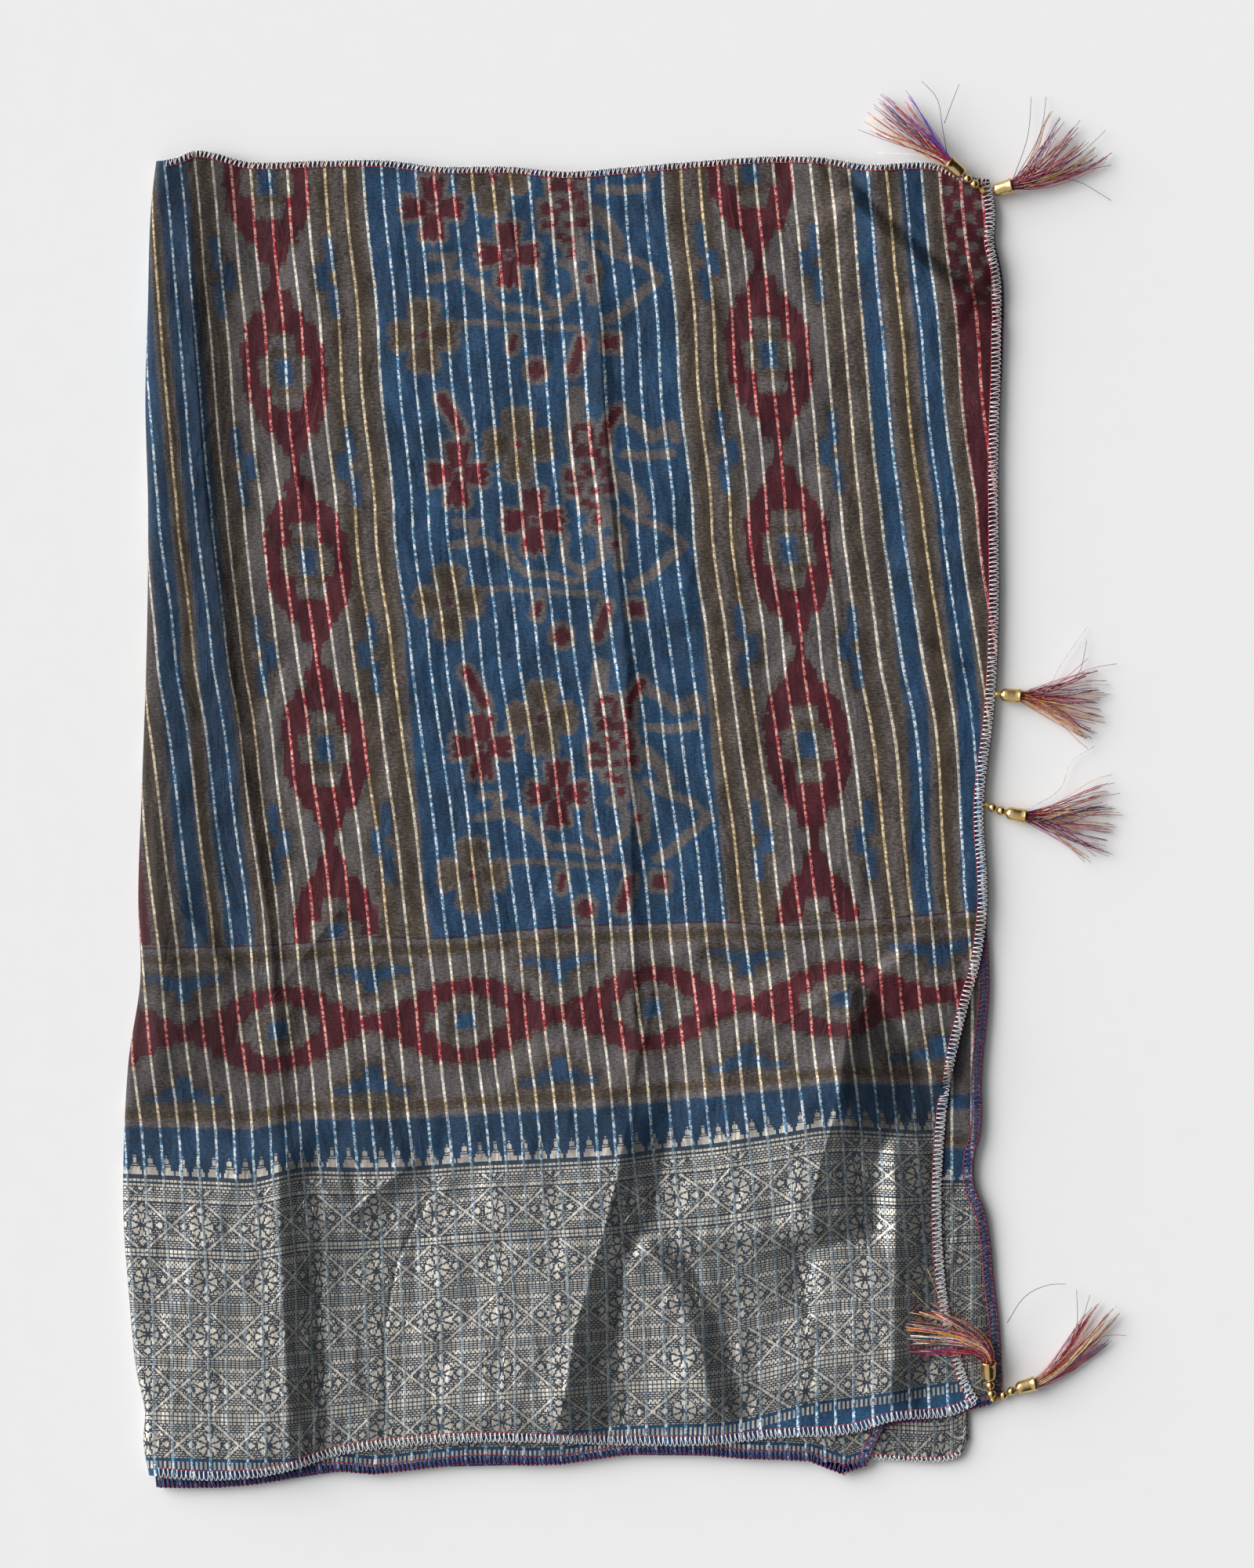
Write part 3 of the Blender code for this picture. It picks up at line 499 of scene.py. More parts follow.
# Stripes down the length, counted in metal threads from the middle one: the grey ones, which hold the chains,
# and the brown ones beside them with how sharp their edges are
MIDDLE_THREAD = 19.0
GREY_STRIPES = [(8.0, 18.0), (19.1, 20.7), (22.0, 26.9)]
BROWN_STRIPES = [(8.3, 9.2, 0.45), (9.6, 10.6, 0.45), (16.2, 17.0, 0.45), (17.4, 18.0, 0.45)]
BROWN_STRIPES += [(19.4, 20.4, 0.8), (22.3, 22.9, 0.6)]


def stepped(across, along, steps):
    """A figure dyed bundle by bundle: each step is (reach across, half its length), widest bundle last."""
    lean = np.abs(across)
    length = np.full(across.shape, -40.0)
    for reach, half in steps[::-1]:
        length = np.where(lean < reach, half, length)
    return np.maximum(np.abs(along) - length, lean - steps[-1][0])


def chain_figures(across, along, outer, hole, centre):
    """Maroon ring, blue centre and brown shade of one link, dyed in bundles about 7 mm wide."""
    ring = np.maximum(stepped(across, along, outer), -stepped(across, along, hole))
    middle = block(across, along, (0.0, 0.0), *centre)
    shade = np.maximum(block(across, along, (0.0, 0.0), centre[0] * 1.9, centre[1] * 1.8), -middle)
    return ring, middle, shade


UPRIGHT_OUTER = [(6.0, 140.0), (18.5, 104.0), (35.0, 78.0), (46.0, 62.0), (56.0, 38.0)]
UPRIGHT_HOLE = [(18.5, 49.0), (35.5, 19.0)]
LEVEL_OUTER = [(17.0, 54.0), (42.0, 51.0), (62.0, 42.0), (84.0, 30.0), (104.0, 19.0), (140.0, 11.0)]
LEVEL_HOLE = [(17.0, 34.0), (36.0, 26.0), (54.0, 12.0)]

# One repeat of the flower spray, in pixels from the first maroon flower's middle
SPRAYS = [(521.0, -76.0), (552.4, 265.5), (584.3, 604.7), (614.6, 952.5)]
MAROON_FLOWERS = [(0.0, 0.0), (96.7, 59.8)]
BROWN_FLOWERS = [(-11.5, 163.0), (77.0, -37.0)]
MAROON_STROKES = [
    ([(-20.0, -96.3), (-8.0, -76.0), (4.0, -54.5)], 6.5),
    ([(204.0, -81.0), (189.0, -60.0)], 6.0),
    ([(189.4, 170.0), (178.5, 206.5)], 6.5),
    ([(103.5, 165.0), (101.0, 180.0)], 4.5),
]
MAROON_BLOCKS = [
    ((159.0, -60.0), 11.0, 5.5), ((148.5, -48.0), 5.0, 11.0), ((170.5, -48.0), 5.0, 12.0),
    ((161.0, -34.0), 9.0, 5.0), ((187.0, -44.0), 7.0, 10.0), ((155.4, -26.8), 8.9, 7.1),
    ((173.2, -26.8), 10.7, 7.1), ((184.0, -16.0), 8.9, 7.1), ((162.5, -8.9), 7.1, 5.4),
    ((142.9, 1.8), 7.1, 8.9), ((155.4, 4.6), 8.9, 4.5), ((169.6, -1.8), 7.1, 7.1),
    ((189.3, -1.8), 7.1, 8.9), ((148.2, 21.4), 10.7, 5.4), ((157.0, 14.3), 3.6, 10.7),
    ((173.2, 21.4), 7.1, 5.4), ((191.0, 17.9), 8.9, 8.0), ((162.5, 35.7), 7.1, 5.4),
    ((173.2, 41.0), 8.9, 5.4), ((177.5, 58.2), 6.3, 7.1), ((200.6, 90.6), 6.0, 6.5),
    ((132.0, 207.0), 12.0, 7.5), ((132.0, 207.0), 6.5, 13.0), ((227.3, 172.0), 10.5, 10.0),
]
GREY_STEMS = [
    ([(-1.8, 62.5), (26.8, 62.5)], 6.0),
    ([(19.6, 62.5), (19.6, 87.5)], 6.0),
    ([(-5.4, 91.0), (34.0, 84.0), (55.0, 98.0), (87.5, 127.0)], 6.0),
    ([(19.6, 148.0), (62.5, 146.0), (144.6, 151.8), (184.0, 153.6)], 4.0),
    ([(87.5, 127.0), (119.6, 128.6), (148.0, 137.5), (162.5, 130.4)], 5.0),
    ([(137.5, 76.8), (135.7, 109.0), (159.0, 125.0), (184.0, 109.0), (180.4, 76.8), (162.5, 69.6)], 5.5),
    ([(201.8, -76.8), (226.8, -66.0), (248.0, -46.4), (273.0, -60.7), (278.6, -46.4)], 8.0),
    ([(212.5, -25.0), (241.0, -22.5), (273.0, -26.8)], 6.0),
    ([(209.0, 5.4), (226.8, 23.2), (237.5, 44.6)], 9.0),
    ([(209.0, 44.6), (233.9, 58.9), (266.0, 69.6), (287.5, 87.5)], 5.5),
    ([(287.5, 91.0), (262.5, 112.5), (244.6, 130.4), (223.2, 142.9)], 7.0),
    ([(187.5, 44.6), (209.0, 76.8), (205.4, 116.0)], 9.0),
    ([(152.0, -102.0), (147.0, -50.0)], 12.0),
    ([(60.0, 92.0), (74.0, 112.0)], 5.0),
]


def petals(x, y, centre, start, end, inner, outer, teeth):
    """Four fan-shaped petals on a cross, their outer ends cut into two or three lobes."""
    dx, dy = x - centre[0], y - centre[1]
    flower = np.full(x.shape, np.inf)
    for ux, uy in ((1, 0), (-1, 0), (0, 1), (0, -1)):
        out, side = dx * ux + dy * uy, np.abs(dx * uy - dy * ux)
        share = np.clip((out - start) / (end - start), 0.0, 1.0)
        width = inner + (outer - inner) * share**0.6
        notch = side / 2.2 if teeth == 2 else (side - 6.0) / 2.0
        reach = end - (3.0 if ux else 0.0) - 0.02 * side**2 - 8.0 * np.exp(-(notch**2))
        flower = np.minimum(flower, np.maximum.reduce([start - out, out - reach, side - width]))
    return flower


def spray_figures(px, py):
    """Maroon, brown and grey figures of the flower sprays in the blue panel."""
    maroon, brown, grey = np.full((3, *px.shape), OUTSIDE)
    for home in SPRAYS:
        near = (py > home[1] - 150) & (py < home[1] + 260)
        if not near.any():
            continue
        x, y = px[near] - home[0], py[near] - home[1]
        m = b = g = np.full(x.shape, OUTSIDE)
        for centre in MAROON_FLOWERS:
            flower = petals(x, y, centre, 7.0, 44.0, 8.5, 16.0, 3)
            m = both(m, flower, stroke(x, y, [centre, (centre[0] + 0.1, centre[1])], 4.5))
            g = both(g, flower - 6.0)
        for path, radius in MAROON_STROKES:
            line = stroke(x, y, path, radius)
            m, g = both(m, line), both(g, line - 6.5)
        for centre, half_width, half_height in MAROON_BLOCKS:
            tile = block(x, y, centre, half_width - 0.8, half_height - 0.8)
            m, g = both(m, tile), both(g, tile - 7.0)
        for centre in BROWN_FLOWERS:
            flower = petals(x, y, centre, 7.0, 46.0, 9.0, 18.5, 2)
            dot = stroke(x, y, [centre, (centre[0] + 0.1, centre[1])], 5.8)
            b, g, m = both(b, flower * 0.45), both(g, flower - 6.0), both(m, dot)
        for path, radius in GREY_STEMS:
            g = both(g, stroke(x, y, path, radius))
        for total, part in ((maroon, m), (brown, b), (grey, g)):
            total[near] = np.minimum(total[near], part)
    return maroon, brown, grey


def dyed_places(px, py, unrolled=None):
    """Where each dye lies: millimetres outside the maroon, brown, blue and grey areas, at picture pixels."""
    walked = px if unrolled is None else unrolled
    across = thread_number(walked, py) * THREAD_PITCH
    down = down_from_seam(px, py)
    far = np.full(px.shape, OUTSIDE)

    drift = 20.0 * smoothstep((py - 640.0) / 510.0)
    count = thread_number(walked + drift, py)
    from_middle = np.abs(count - MIDDLE_THREAD)
    # on the left the outer stripes are broader
    at = (0.0, 16.5, 17.55, 19.55, 20.4, 21.65, 23.5, 27.0)
    counted = (0.0, 16.5, 18.0, 19.1, 20.7, 22.0, 23.0, 26.5)
    from_middle = np.where(count < MIDDLE_THREAD, np.interp(from_middle, at, counted), from_middle)

    def stripe(value, low, high):
        return np.maximum(low - value, value - high) * THREAD_PITCH / PIXEL

    maroon = brown = blue = far
    grey = both(*(stripe(from_middle, low, high) for low, high in GREY_STRIPES))
    for low, high, softness in BROWN_STRIPES:
        brown = both(brown, softness * stripe(from_middle, low, high))
    # the checks in the outer maroon stripe, which fade out lower down
    checks = far
    small = 5.2 * smoothstep((py - 330.0) / 110.0)
    for shift in (0.25, 0.75):
        dx = from_middle - 23.55 - shift
        dy = py / CHECK_DOWN - shift
        dx, dy = (dx - np.round(dx)) * THREAD_PITCH / PIXEL, (dy - np.round(dy)) * CHECK_DOWN
        checks = both(checks, np.maximum(np.abs(dx), np.abs(dy)) - 5.2 + small)
    maroon = both(maroon, np.maximum(stripe(from_middle, 23.0, 25.5), -checks))

    for chain in CHAINS:
        middles = chain["middles"]
        position = np.interp(py, middles, np.arange(len(middles)))
        offset = position - np.round(position)
        dx = walked - smooth_table(py, chain["line"])
        ring, middle, shade = chain_figures(dx, offset * LINK, UPRIGHT_OUTER, UPRIGHT_HOLE, (11.0, 17.0))
        near = np.abs(dx) < 100
        ring = np.where(near, ring, OUTSIDE)
        maroon, blue = both(maroon, ring), both(blue, middle)
        brown = both(brown, 0.5 * shade, 0.5 * (np.abs(ring) - 4.0))
        # hooks beside each neck, bulging towards it
        neck = np.abs(np.abs(offset) - 0.5) * LINK
        lean = np.abs(dx)
        hook = both(block(lean, neck, (60.0, 0.0), 4.0, 12.0), block(lean, neck, (72.0, 30.0), 1.5, 17.0))
        hook = hook - 5.0
        blue, brown = both(blue, hook), both(brown, 0.5 * (hook - 7.0))

    flowers_maroon, flowers_brown, flowers_grey = spray_figures(px, py)
    inside = np.maximum(from_middle - 8.0, 0) * 60.0
    maroon = both(maroon, flowers_maroon + inside)
    brown = both(brown, flowers_brown + inside)
    grey = both(grey, flowers_grey + inside)

    # below the seam line: the cross-wise band
    def band(low, high):
        return np.maximum(low - down, down - high) / PIXEL

    low_grey = band(-2.0, 98.0)
    low_brown = both(0.8 * band(3.4, 9.5), 0.8 * band(88.0, 94.0))
    # past the tuck, which hides the middle of one link, the band goes on from that link's end
    past_tuck = smoothstep((px - 1094.0) / 12.0)
    step = (px + past_tuck * (1118.0 - px + (px - 1100.0) * 0.75) - LEVEL_START) / LEVEL_LINK
    offset = step - np.round(step)
    from_line = (down - LEVEL_DOWN) / PIXEL
    low_maroon, low_blue, shade = chain_figures(
        offset * LEVEL_LINK, from_line, LEVEL_OUTER, LEVEL_HOLE, (12.5, 11.0)
    )
    low_brown = both(low_brown, 0.5 * shade, 0.5 * (np.abs(low_maroon) - 4.0))
    neck = np.abs(np.abs(offset) - 0.5) * LEVEL_LINK
    for centre, turn in LEVEL_HOOKS:
        rise = (down - centre) / PIXEL * turn
        hook = both(block(neck, rise, (0.0, 6.0), 10.0, 15.0), block(neck, rise, (15.0, -3.0), 12.0, 8.0))
        hook = both(hook, block(neck, rise, (34.0, -9.0), 16.0, 4.5))
        low_blue, low_brown = both(low_blue, hook), both(low_brown, 0.5 * (hook - 8.0))
    pairs = ((low_maroon, maroon), (low_brown, brown), (low_blue, blue), (low_grey, grey))
    dyes = [np.where(down > 0.0, low, high) * PIXEL for low, high in pairs]
    return across, down, *dyes


# Distances to a dye's edge are kept up to this many millimetres
EDGE_LIMIT = 6.0


def mark_cloth(mesh, places):
    """Stores the cloth's own places on its points: on the weave, from the edge of each dye, from a crease,
    with its painted shade.
    """
    across, down, maroon, brown, blue, grey, line, height, depth = (np.ravel(p) for p in places)
    maroon, brown, blue, grey = np.clip((maroon, brown, blue, grey), -EDGE_LIMIT, EDGE_LIMIT)
    for name, values in (
        ("weave_place", (across, down, grey)),
        ("dye_edges", (maroon, brown, blue)),
        ("crease_and_painted_shade", (line, height, depth)),
    ):
        layer = mesh.attributes.new(name, "FLOAT_VECTOR", "POINT")
        layer.data.foreach_set("vector", np.stack(values, axis=1).ravel())


def sheet_mesh(name, outer, inner, places, inner_every):
    """A closed thin shell: a fine outer grid, a coarser inner one under it, and a rim between them."""
    rows, columns = outer.shape[:2]
    keep_r = sorted(set(range(0, rows, inner_every)) | {rows - 1})
    keep_c = sorted(set(range(0, columns, inner_every)) | {columns - 1})
    inner = inner[np.ix_(keep_r, keep_c)]
    index = np.arange(rows * columns).reshape(rows, columns)
    under = rows * columns + np.arange(len(keep_r) * len(keep_c)).reshape(len(keep_r), len(keep_c))
    faces = []
    # the under side faces down, so its corners run the other way round
    for grid, order in ((index, (0, 1, 2, 3)), (under, (0, 3, 2, 1))):
        corners = [grid[:-1, :-1], grid[:-1, 1:], grid[1:, 1:], grid[1:, :-1]]
        faces += np.stack([corners[i] for i in order], axis=-1).reshape(-1, 4).tolist()
    for i, (low, high) in enumerate(zip(keep_c[:-1], keep_c[1:])):
        faces.append([under[0, i], under[0, i + 1]] + index[0, low : high + 1][::-1].tolist())
        faces.append([under[-1, i + 1], under[-1, i]] + index[-1, low : high + 1].tolist())
    for i, (low, high) in enumerate(zip(keep_r[:-1], keep_r[1:])):
        faces.append([under[i + 1, 0], under[i, 0]] + index[low : high + 1, 0].tolist())
        faces.append([under[i, -1], under[i + 1, -1]] + index[low : high + 1, -1][::-1].tolist())
    points = np.concatenate([outer.reshape(-1, 3), inner.reshape(-1, 3)])
    points = (points + np.array([drawing_x, drawing_y, 0.0])) * MM
    mesh = bpy.data.meshes.new(name)
    mesh.from_pydata(points.tolist(), [], [[int(v) for v in face] for face in faces])
    places = [np.concatenate([p.ravel(), p[np.ix_(keep_r, keep_c)].ravel()]) for p in places]
    mark_cloth(mesh, places)
    mesh.shade_smooth()
    mesh.set_sharp_from_angle(angle=math.radians(50))
    piece = bpy.data.objects.new(name, mesh)
    bpy.context.scene.collection.objects.link(piece)
    return piece


def lowest_near(grid, reach):
    """The lowest value within a few steps of each point of a grid."""
    padded = np.pad(grid, reach, mode="edge")
    rows, columns = grid.shape
    steps = range(2 * reach + 1)
    return np.minimum.reduce([padded[r : r + rows, c : c + columns] for r in steps for c in steps])


def spaced(*runs):
    """Rising shares from runs of (end share, number of steps), starting at nought."""
    marks = [0.0]
    for end, steps in runs:
        marks += list(np.linspace(marks[-1], end, steps + 1)[1:])
    return np.array(marks)


def front_cloth():
    columns = spaced((0.26, 50), (0.70, 126), (1.0, 58))
    rows = spaced((0.245, 56), (0.415, 54), (1.0, 232))
    fold_line = point_at_share(FRONT_LEFT, rows)
    left = fold_line + np.array([FOLD_REACH, 0.0])
    bottom = point_at_share([tuple(left[0])] + FRONT_BOTTOM_EDGE[1:], columns)
    top = point_at_share([tuple(left[-1])] + FRONT_TOP_EDGE[1:], columns)
    right = point_at_share(FRONT_RIGHT, rows)
    flat = patch(left, right, bottom, top, columns, rows)
    height = front_height(flat[..., 0], flat[..., 1], columns[None, :], rows[:, None])
    outer_flat = np.concatenate([flat, height[..., None]], axis=-1)
    under_height = lowest_near(height, 3) - CLOTH
    inner_flat = np.concatenate([flat, under_height[..., None]], axis=-1)

    turns = np.linspace(math.pi, 0.0, 13)[:-1]
    half = height[:, 0] / 2
    fold_outer = np.zeros((len(rows), len(turns), 3))
    fold_inner = np.zeros_like(fold_outer)
    walked = np.zeros((len(rows), len(turns)))
    for k, turn in enumerate(turns):
        across, up = math.sin(turn), math.cos(turn)
        for layer, inset in ((fold_outer, 0.0), (fold_inner, CLOTH)):
            x = left[:, 0] - (FOLD_REACH - inset) * across
            layer[:, k] = np.stack([x, left[:, 1], half + (half - inset) * up], axis=-1)
        walked[:, k] = turn / math.pi * 0.5 * math.pi * (FOLD_REACH + half)
    outer = np.concatenate([fold_outer, outer_flat], axis=1)
    inner = np.concatenate([fold_inner, inner_flat], axis=1)
    x, y = outer[..., 0], outer[..., 1]
    px, py = to_pixels(x, y)
    unrolled = px.copy()
    unrolled[:, : len(turns)] = PICTURE_MIDDLE[0] + (left[:, :1] - walked) / PIXEL
    places = dyed_places(px, py, unrolled) + crease_line(x, y)
    down = places[1]
    # painted shade: the outer part by the fold is darker, and so is a band above the brocade
    painted_shade_and_tone = 1.0 - 0.36 * smoothstep((-190.0 - x) / 40.0) * smoothstep((y + 200.0) / 40.0)
    painted_shade_and_tone = painted_shade_and_tone * (1.0 - 0.26 * smoothstep((down - 96.0) / 4.0) * smoothstep((126.0 - down) / 4.0))
    # painted shade: the wedge that is folded in under the tuck is darker too
    lip, side, along = nearest_on(x, y, TUCK_LIP)
    crest, crest_side, along = nearest_on(x, y, TUCK_CREST)
    inside = smoothstep(np.where(side < 0, lip, 0.0) / 2.4)
    inside = inside * smoothstep(np.where(crest_side > 0, crest, 0.0) / 4.0)
    inside = inside * smoothstep((y + 204.0) / 22.0) * smoothstep((-103.0 - y) / 6.0)
    painted_shade_and_tone = painted_shade_and_tone * (1.0 - 0.46 * inside)
    # painted shade along the sharpest creases
    for path, depth, reach in SHADED_CREASES:
        best, side, along = nearest_on(x, y, path)
        painted_shade_and_tone = painted_shade_and_tone * (1.0 - depth * np.exp(-((best / reach) ** 2)))
    # the plain selvedge past the brocade is drawn lighter
    painted_shade_and_tone = painted_shade_and_tone * (1.0 + 0.45 * smoothstep((down - BAND_DEPTH - BROCADE_DEPTH - 5.5) / 2.0))
    places = *places, painted_shade_and_tone
    return sheet_mesh("front_cloth", outer, inner, places, 4), outer_flat


# Each dye: its dark and light tone, the same for metal thread on it, and how far its edge wanders and blurs
DYES = {
    "blue": (("#162F47", "#22496C"), ("#4079A0", "#DDE2E2"), 6.5, 2.1),
    "grey": (("#4C4647", "#676160"), ("#B4ADA3", "#EDE8DE"), 6.0, 0.7),
    "brown": (("#372D24", "#4E4134"), ("#93794F", "#E0D0AE"), 7.0, 1.6),
    "maroon": (("#390D18", "#521522"), ("#A01E30", "#DCA89C"), 4.5, 1.0),
}


def cloth_material(name, depth=1.0):
    """Dyed cotton and silk with metal threads and a silver brocade: soft and matt, bright where metal floats.

    The dyes' edges come from the cloth's own places, and are broken up along the weft as ikat dyeing does.
    depth darkens it.
    """
    material, tree, shader = new_material(name)
    place = node(tree, "SeparateXYZ", [node(tree, "Attribute", out=1, attribute_name="weave_place")])
    across, down, grey = place.node.outputs
    dyes = node(tree, "SeparateXYZ", [node(tree, "Attribute", out=1, attribute_name="dye_edges")])
    maroon, brown, blue = dyes.node.outputs
    edges = {"grey": grey, "brown": brown, "blue": blue, "maroon": maroon}

    # the dyed bundles shift a little against each other, row by row
    pick = node(tree, "Math", (down, 0.62), operation="SNAP")
    smear = node(tree, "CombineXYZ", (node(tree, "Math", (across, 0.16), operation="MULTIPLY"), pick, 0.0))
    shift = node(tree, "TexNoise", {"Vector": smear, "Scale": 1.25, "Detail": 2.0, "Roughness": 0.6})
    shift = node(tree, "Math", (shift, 0.5), operation="SUBTRACT")
    spot = node(tree, "CombineXYZ", (across, down, 0.0))
    cloud = node(tree, "TexNoise", {"Vector": spot, "Scale": 0.035, "Detail": 3.0, "Roughness": 0.6})
    # slubs: short thick and thin places in the weft, some 3 mm long
    slub_spot = node(tree, "CombineXYZ", (node(tree, "Math", (across, 0.3), operation="MULTIPLY"), down, 0.0))
    slub = node(tree, "TexNoise", {"Vector": slub_spot, "Scale": 1.3, "Detail": 2.0, "Roughness": 0.75})
    grain = node(tree, "TexNoise", {"Vector": spot, "Scale": 0.85, "Detail": 4.0, "Roughness": 0.85})
    fuzz = node(tree, "Math", (node(tree, "Math", (slub, grain), operation="ADD"), 0.5), operation="MULTIPLY")

    ragged = node(tree, "Math", (slub, 0.5), operation="SUBTRACT")
    flecks = node(tree, "CombineXYZ", (node(tree, "Math", (across, 0.9), operation="MULTIPLY"), down, 3.0))
    flecks = node(tree, "TexNoise", {"Vector": flecks, "Scale": 0.55, "Detail": 2.0, "Roughness": 0.8})
    fleck = node(tree, "MapRange", {0: flecks, 1: 0.47, 2: 0.56, 3: 0.0, 4: 1.0})

    # the cloth and the metal threads on it, blue all over and then dye by dye, from the distance to its edge
    dyed, dyed_metal = {}, {}
    for dye, (cloth_tones, metal_tones, *_) in DYES.items():
        for made, spread, (dark, light) in ((dyed, cloud, cloth_tones), (dyed_metal, fleck, metal_tones)):
            feeds = {0: spread, 6: linear(dark), 7: linear(light)}
            made[dye] = node(tree, "Mix", feeds, out=2, data_type="RGBA")
    colour, strand = dyed["blue"], dyed_metal["blue"]
    for dye, edge in edges.items():
        wander, soft = DYES[dye][2:]
        moved = node(tree, "Math", (shift, wander, edge), operation="MULTIPLY_ADD")
        moved = node(tree, "Math", (ragged, wander * 0.7, moved), operation="MULTIPLY_ADD")
        feeds = {0: moved, 1: -soft, 2: soft, 3: 1.0, 4: 0.0}
        mask = node(tree, "MapRange", feeds, interpolation_type="SMOOTHSTEP")
        colour = node(tree, "Mix", {0: mask, 6: colour, 7: dyed[dye]}, out=2, data_type="RGBA")
        strand = node(tree, "Mix", {0: mask, 6: strand, 7: dyed_metal[dye]}, out=2, data_type="RGBA")

    # plain weave: warp and weft 0.8 mm apart, drawn about twice as coarse as the real threads to show
    threads = [node(tree, "Math", (way, 7.85), operation="MULTIPLY") for way in (down, across)]
    threads = [node(tree, "Math", (way,), operation="SINE") for way in threads]
    weave = node(tree, "Math", threads, operation="MULTIPLY")
    light = node(tree, "Math", (weave, 0.16, -2.42), operation="MULTIPLY_ADD")
    light = node(tree, "Math", (fuzz, 5.7, light), operation="MULTIPLY_ADD")
    light = node(tree, "Math", (cloud, 0.9, light), operation="MULTIPLY_ADD")
    light = node(tree, "Math", (light, 0.3), operation="MAXIMUM")
    colour = node(tree, "Mix", {0: 1.0, 6: colour, 7: light}, out=2, data_type="RGBA", blend_type="MULTIPLY")

    # the thin dark red line of the woven-in seam
    seam = node(tree, "Math", (down, 0.0, 0.38), operation="COMPARE")
    colour = node(tree, "Mix", {0: seam, 6: colour, 7: linear("#3A1420")}, out=2, data_type="RGBA")

    # brocade: counted in threads of 0.9 by 0.62 mm
    ground = linear("#2C3741")
    x = node(tree, "Math", (node(tree, "Math", (across, 0.9), operation="SNAP"), 41.75), operation="ADD")
    y = node(tree, "Math", (pick, BAND_DEPTH), operation="SUBTRACT")
    p = node(tree, "Math", (x, 16.5), operation="PINGPONG")
    q = node(tree, "Math", (node(tree, "Math", (y, 32.2), operation="ADD"), 14.8), operation="PINGPONG")
    # silver dashes, one to a step across or down: long ones, the selvedge's pegs, the spires' rows and the
    # short floats of the ground, of which each row is set half a step from the last
    rise = node(tree, "Math", (0.0, y), operation="SUBTRACT")
    row = node(tree, "Math", (y, 1.36), operation="DIVIDE")
    half_step = node(tree, "Math", (node(tree, "Math", (row,), operation="FLOOR"), 0.5), operation="MULTIPLY")
    long_step = node(tree, "Math", (across, 2.3), operation="DIVIDE")
    along = node(tree, "Math", (long_step, half_step), operation="ADD")
    peg_step = node(tree, "Math", (across, 2.45), operation="DIVIDE")
    spire_row = node(tree, "Math", (rise, 1.24), operation="DIVIDE")
    dashes = []
    for step, share in ((row, 0.66), (along, 0.72), (long_step, 0.8), (peg_step, 0.5), (spire_row, 0.55)):
        step = node(tree, "Math", (step,), operation="FRACT")
        dashes.append(node(tree, "Math", (step, share), operation="LESS_THAN"))
    in_row, dash, bar, pegs, picks = dashes
    floats = node(tree, "Math", (in_row, dash), operation="MULTIPLY")
    # diamond lattice between the dash rows
    lattice = node(tree, "Math", (q, 0.7432), operation="MULTIPLY")
    lattice = node(tree, "Math", (p, 0.6667, lattice), operation="MULTIPLY_ADD")
    lattice = node(tree, "Math", (lattice, 11.0), operation="SUBTRACT")
    line = node(tree, "Math", (lattice, 0.0, 0.65), operation="COMPARE")
    line_gap = node(tree, "Math", (lattice, 0.0, 1.3), operation="COMPARE")
    # eight-petalled flower in each diamond
    radius = node(tree, "VectorMath", [node(tree, "CombineXYZ", (p, q, 0.0))], out=1, operation="LENGTH")
    spokes = []
    for slope, share in ((-0.414, 0.92), (-2.414, 0.38)):
        spoke = node(tree, "Math", (p, slope, q), operation="MULTIPLY_ADD")
        spoke = node(tree, "Math", (spoke,), operation="ABSOLUTE")
        spokes.append(node(tree, "Math", (spoke, share), operation="MULTIPLY"))
    petal = node(tree, "Math", spokes, operation="MINIMUM")
    petal = node(tree, "Math", (petal, 0.5), operation="GREATER_THAN")
    flower = node(tree, "Math", (radius, 6.2), operation="LESS_THAN")
    flower_gap = node(tree, "Math", (radius, 6.9), operation="LESS_THAN")
    # lozenges at the flower's four sides
    lozenges = []
    for way, middle, other in ((p, 9.9, q), (q, 9.0, p)):
        way = node(tree, "Math", (way, middle), operation="SUBTRACT")
        way = node(tree, "Math", (way,), operation="ABSOLUTE")
        lozenges.append(node(tree, "Math", (way, other), operation="ADD"))
    lozenge = node(tree, "Math", lozenges, operation="MINIMUM")
    lozenge_in = node(tree, "Math", (lozenge, 2.1), operation="LESS_THAN")
    lozenge_gap = node(tree, "Math", (lozenge, 3.4), operation="LESS_THAN")
    # rows of long dashes
    rows = node(tree, "Math", (q, 13.6, 0.45), operation="COMPARE")
    rows = node(tree, "Math", (rows, bar), operation="MULTIPLY")
    rows_gap = node(tree, "Math", (q, 13.5, 0.95), operation="COMPARE")
    # two dash rows under the spires
    opening = [node(tree, "Math", (y, down_to, 0.62), operation="COMPARE") for down_to in (2.6, 5.0)]
    opening = node(tree, "Math", (node(tree, "Math", opening, operation="ADD"), bar), operation="MULTIPLY")
    head_zone = node(tree, "Math", (y, 6.3), operation="LESS_THAN")
